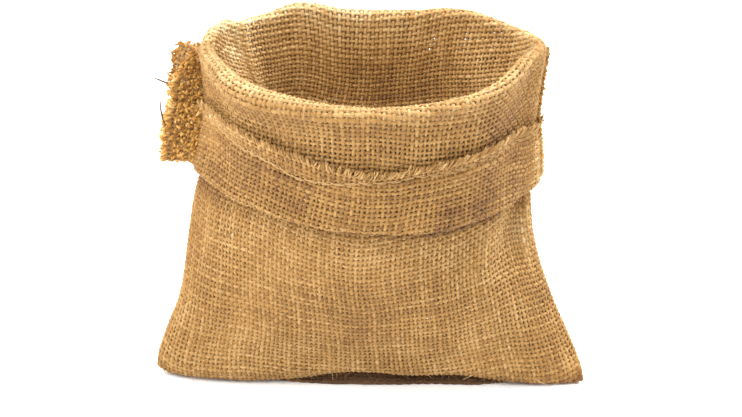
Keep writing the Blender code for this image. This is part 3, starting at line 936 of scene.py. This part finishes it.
def weave(panel, seed):
    """The warp and the weft of one panel, as lists of tube batches."""
    points, starts, normals = grids[panel], cuff_starts[panel], axes[panel][2]
    rows, columns = points.shape[:2]
    row, place = np.indices((rows, columns))
    board = np.where((row // 2 + place // 2) % 2 == 0, CRIMP, -CRIMP)
    crossed = {
        "warp": points + np.where(row % 2 == 1, board, 0.0)[..., None] * normals,
        "weft": points - np.where(place % 2 == 1, board, 0.0)[..., None] * normals,
    }
    tones = cloth_tones(panel, seed + 80)
    wider = yarn_widths(panel, rows, columns, seed + 90)
    top, last, outer = rows - 2 * FRAYED_WEFTS, columns - RIGHT, 2 * FRAYED_WARPS
    wide = max(starts.values()) // 2 * 2 + 1
    # Each block of yarns: its kind, the grid rows and columns it takes, and its own seed.
    blocks = (
        ("warp", slice(0, top), slice(LEFT + 1, last, 2), 0),
        ("warp", slice(starts["left"], top), slice(outer + 1, LEFT, 2), 1),
        ("warp", slice(starts["right"], top), slice(last, columns, 2), 2),
        ("weft", slice(1, wide, 2), slice(LEFT, last), 40),
        ("weft", slice(wide, top, 2), slice(outer, columns), 41),
    )
    batches = {"warp": [], "weft": []}
    for kind, block_rows, block_columns, own_seed in blocks:
        values = (crossed[kind], normals, tones, YARN_WIDTH[kind] * wider)
        block = [value[block_rows, block_columns] for value in values]
        if kind == "warp":
            block = [np.swapaxes(value, 0, 1) for value in block]
        batches[kind].append(yarn_batch(*block, seed + own_seed))
    return batches


# %% Weave both panels
pieces = {}
for panel, seed in (("front", 100), ("back", 300)):
    for kind, batches in weave(panel, seed).items():
        pieces[panel + "_" + kind] = tube_object(panel + "_" + kind, batches)

# %% [markdown]
# ## Jute
#
# Jute is a plant fibre, golden brown and a little shiny, spun into a hairy single yarn. Its
# colour runs from straw to toffee even along one yarn. The shader mixes five colours by the
# yarn's own tone and by streaks that follow the fibres, which wind round the yarn with its
# twist. The same streaks give the bump. A soft sheen stands for the down of fibre ends that
# catches the light at the edges. All of it is worked out from the yarn's length in millimetres,
# where a picture of sacking would repeat itself and lie on every yarn alike.

# %% Colours and nodes
def linear(hex_colour):
    """An sRGB colour such as #C9A063 as linear red, green, blue and an alpha of 1."""
    values = [int(hex_colour[place:place + 2], 16) / 255.0 for place in (1, 3, 5)]
    return [v / 12.92 if v <= 0.04045 else ((v + 0.055) / 1.055) ** 2.4 for v in values] + [1.0]


def add_node(tree, kind, settings=(), **inputs):
    """Adds a node, sets its properties, and sets or links its inputs by name or by _number."""
    node = tree.nodes.new(kind)
    for name, value in dict(settings).items():
        setattr(node, name, value)
    for name, value in inputs.items():
        socket = node.inputs[int(name[1:])] if name[0] == "_" else node.inputs[name]
        if isinstance(value, bpy.types.NodeSocket):
            tree.links.new(value, socket)
        else:
            socket.default_value = value
    return node


print("a toffee brown in linear light:", [round(value, 3) for value in linear("#9C7236")])

# %% Jute material
TWIST_LENGTH = 7.0       # mm of yarn for one turn of its twist
STREAK_SCALE = (0.35, 6.0, 1.0)      # streaks about 3 mm long, and six of them round the yarn
STREAK_TONE = 0.5        # how far the streaks move the tone, from the darkest to the lightest
TONE_PLACES = (0.0, 0.12, 0.40, 0.70, 1.0)  # of the colours: painted shade, dark, middle, light, painted highlight
# Dry plant fibre is matt and no metal, so it keeps the usual IOR and is rough, with some sheen.
SURFACE = {
    "Roughness": 0.75,
    "Sheen Weight": 0.25,
    "Sheen Roughness": 0.5,
    "Sheen Tint": linear("#F0D0A0"),
}


def jute_material(name, *colours):
    """Jute in five colours, one for each of the tone places."""
    material = bpy.data.materials.new(name)
    material.use_nodes = True
    tree = material.node_tree
    run = add_node(tree, "ShaderNodeUVMap", {"uv_map": "yarn run"})
    split = add_node(tree, "ShaderNodeSeparateXYZ", _0=run.outputs["UV"])
    twisted = add_node(tree, "ShaderNodeMath", {"operation": "MULTIPLY_ADD"},
                       _0=split.outputs["X"], _1=1.0 / TWIST_LENGTH, _2=split.outputs["Y"])
    place = add_node(tree, "ShaderNodeCombineXYZ", X=split.outputs["X"], Y=twisted.outputs[0])
    stretch = add_node(tree, "ShaderNodeMapping", Vector=place.outputs[0], Scale=STREAK_SCALE)
    streaks = add_node(tree, "ShaderNodeTexNoise", {"noise_dimensions": "2D"},
                       Vector=stretch.outputs[0], Scale=1.0, Detail=3.0, Roughness=0.6)
    tone = add_node(tree, "ShaderNodeAttribute", {"attribute_name": "tone"})
    blend = add_node(tree, "ShaderNodeMath", {"operation": "MULTIPLY_ADD"},
                     _0=streaks.outputs["Fac"], _1=STREAK_TONE, _2=-STREAK_TONE / 2.0)
    total = add_node(tree, "ShaderNodeMath", {"operation": "ADD"},
                     _0=blend.outputs[0], _1=tone.outputs["Fac"])
    ramp = add_node(tree, "ShaderNodeValToRGB", Fac=total.outputs[0])
    stops = ramp.color_ramp.elements
    stops[0].color, stops[1].color = linear(colours[0]), linear(colours[-1])
    for stop, colour in zip(TONE_PLACES[1:-1], colours[1:-1]):
        stops.new(stop).color = linear(colour)
    bump = add_node(tree, "ShaderNodeBump", Strength=0.6, Distance=0.15 * MM,
                    Height=streaks.outputs["Fac"])
    shader = tree.nodes["Principled BSDF"]
    tree.links.new(ramp.outputs["Color"], shader.inputs["Base Color"])
    tree.links.new(bump.outputs["Normal"], shader.inputs["Normal"])
    for socket, value in SURFACE.items():
        shader.inputs[socket].default_value = value
    return material


# %% Spun jute
# The darkest of these colours serves the painted shade, and the palest the painted highlight.
spun_jute = jute_material("spun_jute", "#4E3010", "#744B1B", "#9C7236", "#BC9760", "#E0CA9C")
for piece in pieces.values():
    piece.data.materials.append(spun_jute)
print("jute on", ", ".join(pieces))

# %% [markdown]
# ## The hem's raw edge
#
# Above the hem's stitches two weft yarns have worked loose, and the warp ends stand free. They
# have lost their twist, so each is drawn again as a tuft of a few strands that lean to one side.
# Blender's own hair could grow them, but strands made as the yarns are start from the very yarn
# that they belong to, and are meshes like the rest of the sack.

# %% Strands
PROFILES = {             # the width along a strand, from its root to its tip
    "hair": (1.0, 0.8, 0.45),
    "pointed": (1.0, 0.85, 0.65, 0.4),
    "blunt": (0.8, 1.0, 1.1, 1.0, 0.6),
}
LOWEST = 0.3             # no strand goes lower than this


def strand_batch(roots, directions, lengths, curls, widths, tones, seed, profile="hair", sides=3):
    """Short strands from root points, bent towards their curls, with one of the profiles."""
    shape = np.array(PROFILES[profile])
    rings, lines = len(shape), len(roots)
    run = np.linspace(0.0, 1.0, rings)[None, :, None]
    reach = lengths[:, None, None]
    points = roots[:, None, :] + run * reach * directions[:, None, :]
    points = points + run ** 2 * reach * curls[:, None, :]
    points[..., 2] = np.maximum(points[..., 2], LOWEST)
    normals = unit(np.cross(directions, curls + np.array([0.01, 0.02, 0.03])))
    normals = np.broadcast_to(normals[:, None, :], points.shape)
    sizes = widths[:, None] * shape[None, :]
    tones = np.broadcast_to(np.asarray(tones, float).reshape(-1, 1), (lines, 1))
    return tube_batch(points, normals, sizes, sizes, tones + yarn_tones(lines, rings, seed), sides)


def mixed(root_axes, amounts):
    """A direction for each strand: amounts of its own three axes."""
    return unit(sum(amount[:, None] * axis for amount, axis in zip(amounts, root_axes)))


def rooted(panel, row, place, dice, spreads):
    """Roots a small random step away from points of the grid, and the three axes there."""
    root_axes = [axis[row, place] for axis in axes[panel]]
    count = len(root_axes[0])
    steps = [spread * dice.normal(size=(count, 1)) * axis for spread, axis in zip(spreads, root_axes)]
    return grids[panel][row, place] + sum(steps), root_axes


print("a hair narrows to", PROFILES["hair"][-1], "of its width at the root")

# %% Hem fringe
# Each free warp end is one thick tuft and some strands about it.
FRINGE = named_rows(
    ("profile", "each_end", "width", "shortest", "longest", "scatter", "sides"),
    ("blunt", 3, 1.00, 3.9, 5.4, 0.16, 4),
    ("pointed", 5, 0.30, 4.0, 6.0, 0.28, 3),
)
FRINGE_LEAN = ((0.0, 0.35, 0.6, 1.0), (-0.2, -0.05, 0.5, 0.7))  # to the right, at shares across
FRINGE_REACH = ((0.0, 0.3, 0.5), (0.78, 0.82, 1.0))             # how long it is, likewise
FRINGE_TONE = 0.46
FRINGE_CURL = 0.28
print("each free warp end is", column(FRINGE, "each_end").sum(), "strands")


def hem_fringe(panel, seed):
    """The free warp ends along a hem's raw edge."""
    dice = np.random.default_rng(seed)
    rows, width = grids[panel].shape[:2]
    row, first, last = rows - 2 * FRAYED_WEFTS - 2, LEFT + 1, width - RIGHT
    own_lean = 0.14 * dice.normal(size=width)
    own_tone = 0.10 * dice.uniform(-1.0, 1.0, width)
    batches = []
    for number, kind in enumerate(FRINGE):
        columns = np.repeat(np.arange(first, last, 2), kind["each_end"])
        count = len(columns)
        across = (columns - first) / (last - first)
        roots, root_axes = rooted(panel, row, columns, dice, (0.45, 0.3, 0.25))
        lean = np.interp(across, *FRINGE_LEAN) + own_lean[columns]
        lean = lean + kind["scatter"] * dice.normal(size=count)
        directions = mixed(root_axes, (lean, np.ones(count), dice.uniform(0.25, 0.5, count)))
        curls = (0.4 * dice.normal(size=count), 0.1 * across, dice.uniform(-1.2, -0.5, count))
        curls = FRINGE_CURL * mixed(root_axes, curls)
        lengths = dice.uniform(kind["shortest"], kind["longest"], count)
        lengths = lengths * np.interp(across, *FRINGE_REACH)
        widths = kind["width"] * dice.uniform(0.75, 1.2, count)
        tones = FRINGE_TONE + own_tone[columns] + 0.06 * dice.normal(size=count)
        batches.append(strand_batch(roots, directions, lengths, curls, widths, tones,
                                    seed + number, kind["profile"], kind["sides"]))
    return batches


# %% [markdown]
# ## Frayed turnings
#
# The turnings were never hemmed. Their outer warp yarns are gone, and the weft ends stand out
# as thick soft tufts. Shorter tufts have been combed out of the turnings' faces, one at each
# crossing of the yarns and one at each gap between them, like the pile of a towel. A bumpy
# surface could stand for the fluff, but only tufts give it a ragged outline. Combed jute looks
# warmer than spun jute, so the tufts are pieces of their own with a warmer material.

# %% Kinds of tufts, in mm
TUFTS_PER_END = {"left": 5, "right": 1}
FUZZ = {"left": 1600, "right": 60}   # thin hairs all over a turning
# left and right give the shortest and longest of a kind on the turnings of that seam.
TUFTS = named_rows(
    ("kind", "profile", "width", "left", "right", "bend", "tone", "sides"),
    ("edge", "blunt", 1.2, (1.8, 3.4), (0.4, 0.8), 0.6, 0.67, 4),
    ("pile", "blunt", 1.3, (1.2, 2.1), (0.6, 1.2), 0.8, 0.59, 4),
    ("fuzz", "hair", 0.15, (1.8, 3.8), (1.0, 2.0), 0.8, 0.59, 3),
)
# How much longer a tuft is at so many grid rows from the cuff's fold.
BY_FOLD = {
    "edge": ((0, 4, 12, 40), (0.5, 0.8, 1.25, 1.0)),
    "pile": ((0, 8), (0.5, 1.0)),
    "fuzz": ((0, 8), (1.0, 1.0)),
}
HOLLOW_PAINTED_SHADE = 0.30       # painted shade: how much darker the tufts are made in the hollow by the rim
HOLLOW_SHADE_REACH = 14.0      # grid rows
print("kinds of tufts:", ", ".join(column(TUFTS, "kind")))

# %% Turning tufts
def turning_tufts(panel, seam, seed):
    """The weft ends that have frayed out of one turning, and the pile on its face."""
    dice = np.random.default_rng(seed)
    points = grids[panel]
    left = seam == "left"
    first = cuff_starts[panel][seam] // 2 * 2 + 1
    top, last = points.shape[0] - 2 * FRAYED_WEFTS, points.shape[1] - 1
    fold = first + points[first:, 0 if left else -1, 2].argmin()
    edge = 2 * FRAYED_WARPS + 1 if left else last - 1
    inner, outer = (edge + 2, LEFT + 1) if left else (last + 1 - RIGHT, last)
    outwards = -1.0 if left else 1.0
    ends = np.repeat(np.arange(first, top, 2), TUFTS_PER_END[seam])
    pile = [flat.ravel() for flat in np.meshgrid(np.arange(first, top), np.arange(inner, outer))]
    kept = sum(pile) % 2 == 0
    fuzz = [dice.integers(low, high, FUZZ[seam]) for low, high in ((first, top), (inner - 2, outer + 1))]
    places = {"edge": (ends, edge), "pile": [flat[kept] for flat in pile], "fuzz": fuzz}
    batches = []
    for number, tuft in enumerate(TUFTS):
        row, place = places[tuft["kind"]]
        count = len(row)
        roots, root_axes = rooted(panel, row, place, dice, (0.3, 0.45, 0.4))
        if tuft["kind"] == "edge":
            out = np.ones(count)
            along, off = 0.25 * dice.normal(size=(2, count))
        else:
            out, along = dice.uniform(-0.2, 1.4, count), 0.5 * dice.normal(size=count)
            off = np.where(row < fold, -1.0, 1.0) * dice.uniform(0.5, 1.3, count)
        directions = mixed(root_axes, (outwards * out, along, off))
        curls = [spread * dice.normal(size=count) for spread in (0.3, 1.0, 0.6)]
        lengths = dice.uniform(*tuft[seam], count)
        lengths = lengths * np.interp(np.abs(row - fold), *BY_FOLD[tuft["kind"]])
        widths = tuft["width"] * dice.uniform(0.7, 1.25, count)
        # painted shade where the tufts sit in the hollow by the rim
        hollow_shade = HOLLOW_PAINTED_SHADE * np.exp(-((row - first) / HOLLOW_SHADE_REACH) ** 2)
        tones = tuft["tone"] + 0.20 * dice.uniform(-1.0, 1.0, count) - hollow_shade
        batches.append(strand_batch(roots, directions, lengths, tuft["bend"] * mixed(root_axes, curls),
                                    widths, tones, seed + number, tuft["profile"], tuft["sides"]))
    return batches


# %% [markdown]
# ## Stitches
#
# A double line of chain stitch holds the hem. The two threads lie side by side on the cloth,
# and dip through it every few millimetres. The loops of the real stitch are too small to tell
# apart here, so two wavy tubes stand for them.

# %% Hem thread
THREAD = 0.75            # thickness
THREAD_STEP = 0.85       # between the two threads
STITCH_LENGTH = 6.0
DIP_REACH = 0.8          # of the place where a stitch goes through the cloth, along the thread
LIFT, DIP = 0.95, 1.4    # off the cloth between two stitches, and down again at one
SUNK = ((0.0, 0.2, 0.26, 0.45, 0.55, 1.0), (-0.6, -0.3, 0.0, 0.0, -0.35, -0.6))  # across a panel
print("stitches to the inch:", round(25.4 / STITCH_LENGTH, 1))


def hem_thread(panel, seed):
    """The sewing threads along one hem, as two tubes side by side."""
    columns = np.arange(LEFT, grids[panel].shape[1] - RIGHT)
    length = length_along(grids[panel])[:, columns]
    across = (columns - LEFT) / (len(columns) - 1)
    drop = read(STITCHES, "drop", across)
    whole = np.arange(len(columns))[:, None]
    fine = np.linspace(0.0, len(columns) - 1.0, 3 * len(columns))[:, None]
    lines, faces = [], []
    for step in (-0.5, 0.5):
        wanted = (length[-1] - drop + step * THREAD_STEP)[None, :]
        line, out = [
            points_at(points_at(values[:, columns], length, wanted)[0][:, None], whole, fine)
            for values in (grids[panel], axes[panel][2])
        ]
        phase = (length_along(line) / STITCH_LENGTH + 0.25 * step) % 1.0
        dip = np.exp(-(np.minimum(phase, 1.0 - phase) * STITCH_LENGTH / DIP_REACH) ** 2)
        lift = LIFT - DIP * dip + np.interp(fine / len(columns), *SUNK)
        faces.append(unit(out)[:, 0])
        lines.append(line[:, 0] + lift * faces[-1])
    lines, faces = np.array(lines), np.array(faces)
    uneven_width = np.random.default_rng(seed).uniform(-1.0, 1.0, lines.shape[:2])
    sizes = THREAD * (1.0 + 0.1 * uneven_width)
    return tube_batch(lines, faces, sizes, sizes, np.full(lines.shape[:2], 0.5))


# %% [markdown]
# ## Stray fibres
#
# Jute sheds. Thousands of fibre ends lie over the holes and stand off the cloth, which softens
# the weave and gives the sack its pale fuzzy outline. Most are thinner in life than can show
# here, so each one is drawn as a hair a little over a tenth of a millimetre thick. They are
# tubes as the yarns are, so no hair system has to be turned into a mesh first.

# %% Hairs
# The hairs of a wall, and more of them along the rim, where it is rubbed: how many for each
# panel, the share that lies flat, their usual length (some are much longer) and their tone.
HAIRS = named_rows(
    ("place", "count", "flat", "length", "tone"),
    ("wall", 4200, 0.75, 3.2, 0.62),
    ("rim", 1300, 0.90, 2.24, 0.80),
)
HAIR_WIDTH = 0.13
OUTSIDE = {"front": 0.85, "back": 0.6}   # share of a wall's hairs that are on its outer face
FLAT_LIFT, STANDING_LIFT = (0.05, 0.3), (0.3, 1.2)  # how steeply they rise off the cloth
CUFF_MARGIN = 5.0        # mm below the cuff where the hairs still keep to the inner face
print("hairs on each panel:", column(HAIRS, "count").sum())


def hairs(panel, seed):
    """Stray fibres over the faces of one panel that can be seen, and more along its rim."""
    dice = np.random.default_rng(seed)
    points = grids[panel]
    kind = np.repeat(np.arange(len(HAIRS)), column(HAIRS, "count"))
    count, on_rim = len(kind), kind == 1
    lying, usual, tones = (column(HAIRS, name)[kind] for name in ("flat", "length", "tone"))
    place = dice.integers(LEFT + 1, points.shape[1] - RIGHT - 1, count)
    row = dice.integers(1, points.shape[0] - 2 * FRAYED_WEFTS, count)
    rim = points[..., 2].argmax(axis=0)[place]
    row = np.where(on_rim, rim + dice.integers(-3, 6, count), row)
    length = length_along(points)
    share = (place - LEFT) / (points.shape[1] - LEFT - RIGHT)
    depth, height = (across_panel(panel, size, share) for size in ("hem", "height"))
    to_edge = length[-1, place] - length[row, place]
    side = np.where(dice.random(count) < OUTSIDE[panel], 1.0, -1.0)
    side = np.where(to_edge < depth + 2.0 * height + CUFF_MARGIN, -1.0, side)
    side = np.where(to_edge < depth, 1.0, side)
    roots, root_axes = rooted(panel, row, place, dice, (0.7, 0.7, 0.0))
    roots = roots + (0.45 * side)[:, None] * root_axes[2]
    turn = dice.uniform(0.0, 2.0 * math.pi, count)
    flat, standing = dice.uniform(*FLAT_LIFT, count), dice.uniform(*STANDING_LIFT, count)
    lift = side * np.where(dice.random(count) < lying, flat, standing)
    directions = mixed(root_axes, (np.cos(turn), np.sin(turn), lift))
    curls = mixed(root_axes, (dice.normal(size=count), dice.normal(size=count), -0.3 * side))
    lengths = usual * np.exp(0.45 * dice.normal(size=count))
    widths = HAIR_WIDTH * dice.uniform(0.7, 1.3, count)
    return strand_batch(roots, directions, lengths, 0.5 * curls, widths, tones, seed + 1)


# %% Ends that hang from the bottom edge, in mm
HANGING_ENDS = named_rows(
    ("across", "length", "slant"),
    (0.14, 6.0, 2.2), (0.19, 4.0, 1.0), (0.34, 3.5, -0.6), (0.42, 4.0, 0.1), (0.435, 3.0, 0.0),
    (0.63, 3.0, 0.8), (0.74, 4.5, -1.6), (0.88, 5.0, 1.5),
)
SEEN_BELOW = 9.0         # the part of the wall that they may hang from
print(len(HANGING_ENDS), "ends hang from the front's bottom edge")


def hanging_ends(seed):
    """Yarn ends that hang to the floor off the front panel's bottom edge."""
    points = grids["front"]
    across, lengths, slants = (column(HANGING_ENDS, name) for name in ("across", "length", "slant"))
    place = (LEFT + across * (points.shape[1] - 1 - LEFT - RIGHT)).astype(int)
    wall = points[:points.shape[0] // 3, place]
    row = np.where(wall[..., 2] < SEEN_BELOW, wall[..., 1], np.inf).argmin(axis=0)
    count = len(row)
    directions = unit(np.stack([slants, np.full(count, -0.5), np.full(count, -1.0)], axis=-1))
    curls = np.stack([0.3 * slants, np.full(count, -0.3), np.full(count, 0.1)], axis=-1)
    widths = np.full(count, 0.35)
    roots = wall[row, np.arange(count)]
    return strand_batch(roots, directions, lengths, curls, widths, 0.7, seed, "pointed")


# %% Ends that stand off the turnings, in mm
STRAY_ENDS = named_rows(
    ("height", "length", "out", "up", "curl_out", "curl_up"),
    (139.5, 10.0, 1.0, 0.45, 0.0, 0.0),
    (118.5, 15.0, 0.5, 0.85, -0.3, 0.15),
)
print(len(STRAY_ENDS), "ends stand off the left turnings")


def stray_ends(seed):
    """Two dark yarn ends that stand off the left turnings, rooted at a height above the table."""
    edge = grids["front"][cuff_starts["front"]["left"]:-2 * FRAYED_WEFTS, 2 * FRAYED_WARPS + 1]
    stray = {name: column(STRAY_ENDS, name) for name in STRAY_ENDS[0]}
    row = np.abs(edge[:, 2] - stray["height"][:, None]).argmin(axis=1)
    flat = np.zeros(len(row))
    directions = unit(np.stack([-stray["out"], flat, stray["up"]], axis=-1))
    curls = np.stack([-stray["curl_out"], flat, stray["curl_up"]], axis=-1)
    widths = np.full(len(row), 0.8)
    return strand_batch(edge[row], directions, stray["length"], curls, widths, -0.1, seed, "blunt", 4)


# %% Make the loose pieces
# Sewing thread is jute too, drawn finer and twisted harder, which gives it a paler, yellower look.
sewing_jute = jute_material("sewing_thread", "#5A3E1E", "#7E5A2C", "#A9834C", "#C4A271", "#E3CFA4")
# Frayed jute has lost its twist. Light goes in between the fibres and comes out warmer.
frayed_jute = jute_material("frayed_jute", "#4E3008", "#804E10", "#AC7626", "#CC9B4C", "#E8C88C")
extras = {}
for panel, seed in (("front", 500), ("back", 600)):
    tufts = turning_tufts(panel, "left", seed + 10) + turning_tufts(panel, "right", seed + 20)
    fibres = [hairs(panel, seed + 40)]
    if panel == "front":
        fibres = fibres + [hanging_ends(seed + 50), stray_ends(seed + 60)]
    # Each piece: its name's ending, its tubes, how wide its baking grid is, and its material.
    for ending, batches, cells, material in (
        ("_tufts", tufts, 24, frayed_jute),
        ("_fringe", hem_fringe(panel, seed), 24, spun_jute),
        ("_hairs", fibres, 40, spun_jute),
        ("_hem_thread", [hem_thread(panel, seed)], 1, sewing_jute),
    ):
        extras[panel + ending] = tube_object(panel + ending, batches, cells)
        extras[panel + ending].data.materials.append(material)

# %% [markdown]
# ## Camera, floor and light
#
# The sack stands on a white table in a white studio, and the camera looks down at it by 28
# degrees with a long lens. Two soft lights hang at the sides, a little behind the sack, and a
# third at the front left. The white room fills the rest. A picture of a studio could do the
# same, but three lights and an even white are easier to follow and to move.

# %% Camera
CAMERA_RISE = 28.0       # degrees above the table
CAMERA_DISTANCE = 834.0  # mm to the point it looks at
LOOK_AT = (1.1, 18.8, 68.0)
FOCAL_LENGTH = 84.86     # mm, on a sensor 36 mm wide

camera_data = bpy.data.cameras.new("studio_camera")
camera_data.lens = FOCAL_LENGTH
camera_data.sensor_width = 36.0
camera_data.clip_start = 0.01
camera = bpy.data.objects.new("studio_camera", camera_data)
rise = math.radians(CAMERA_RISE)
camera.location = [
    LOOK_AT[0] * MM,
    (LOOK_AT[1] - CAMERA_DISTANCE * math.cos(rise)) * MM,
    (LOOK_AT[2] + CAMERA_DISTANCE * math.sin(rise)) * MM,
]
camera.rotation_euler = (math.pi / 2.0 - rise, 0.0, 0.0)
bpy.context.scene.collection.objects.link(camera)
bpy.context.scene.camera = camera
print("camera at", [round(value, 3) for value in camera.location])

# %% Floor and room
TABLE_SIZE = 12.0        # m, so that its edge is never seen
ROOM_LIGHT = 0.96        # strength of the white all round

bpy.ops.mesh.primitive_plane_add(size=TABLE_SIZE, location=(0.0, 0.0, 0.0))
table = bpy.context.active_object
table.name = "white_table"
# Matt white card throws back nearly all the light and shows no gloss.
paper = bpy.data.materials.new("white_paper")
paper.use_nodes = True
surface = paper.node_tree.nodes["Principled BSDF"]
surface.inputs["Base Color"].default_value = linear("#F8F8F8")
surface.inputs["Roughness"].default_value = 0.9
table.data.materials.append(paper)

world = bpy.data.worlds.new("white_studio")
bpy.context.scene.world = world
world.use_nodes = True
background = world.node_tree.nodes["Background"]
background.inputs["Color"].default_value = linear("#FFFFFF")
background.inputs["Strength"].default_value = ROOM_LIGHT
print("staged:", table.name, "in", world.name)

# %% Soft lights
LIGHT_SIZE = 0.8         # m, the side of each square light
LIGHT_AIM = (0.0, 0.0, 0.1)
LIGHTS = (               # the power of each in watts, and where it hangs in m
    ("softbox_right", 34.0, (0.8, 0.5, 1.1)),
    ("softbox_left", 13.0, (-0.8, 0.5, 1.1)),
    ("softbox_front_left", 20.5, (-0.7, -0.65, 1.2)),
)

for name, watts, place in LIGHTS:
    data = bpy.data.lights.new(name, "AREA")
    data.shape = "SQUARE"
    data.size = LIGHT_SIZE
    data.energy = watts
    light = bpy.data.objects.new(name, data)
    light.location = place
    x, y, z = np.array(LIGHT_AIM) - np.array(place)
    light.rotation_euler = (math.atan2(math.hypot(x, y), -z), 0.0, math.pi + math.atan2(x, -y))
    bpy.context.scene.collection.objects.link(light)
bpy.context.scene.view_settings.view_transform = "Standard"
print(len(LIGHTS), "soft lights of", sum(watts for _, watts, _ in LIGHTS), "W in all")

# %% Hand over to the frame
for panel in ("front", "back"):
    warp, weft = pieces[panel + "_warp"], pieces[panel + "_weft"]
    for piece in (warp, weft):
        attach(piece, "root")
    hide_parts(panel + "_panel")
    loose = [extras[panel + ending] for ending in ("_fringe", "_tufts", "_hairs", "_hem_thread")]
    for piece in loose:
        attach(piece, "root")
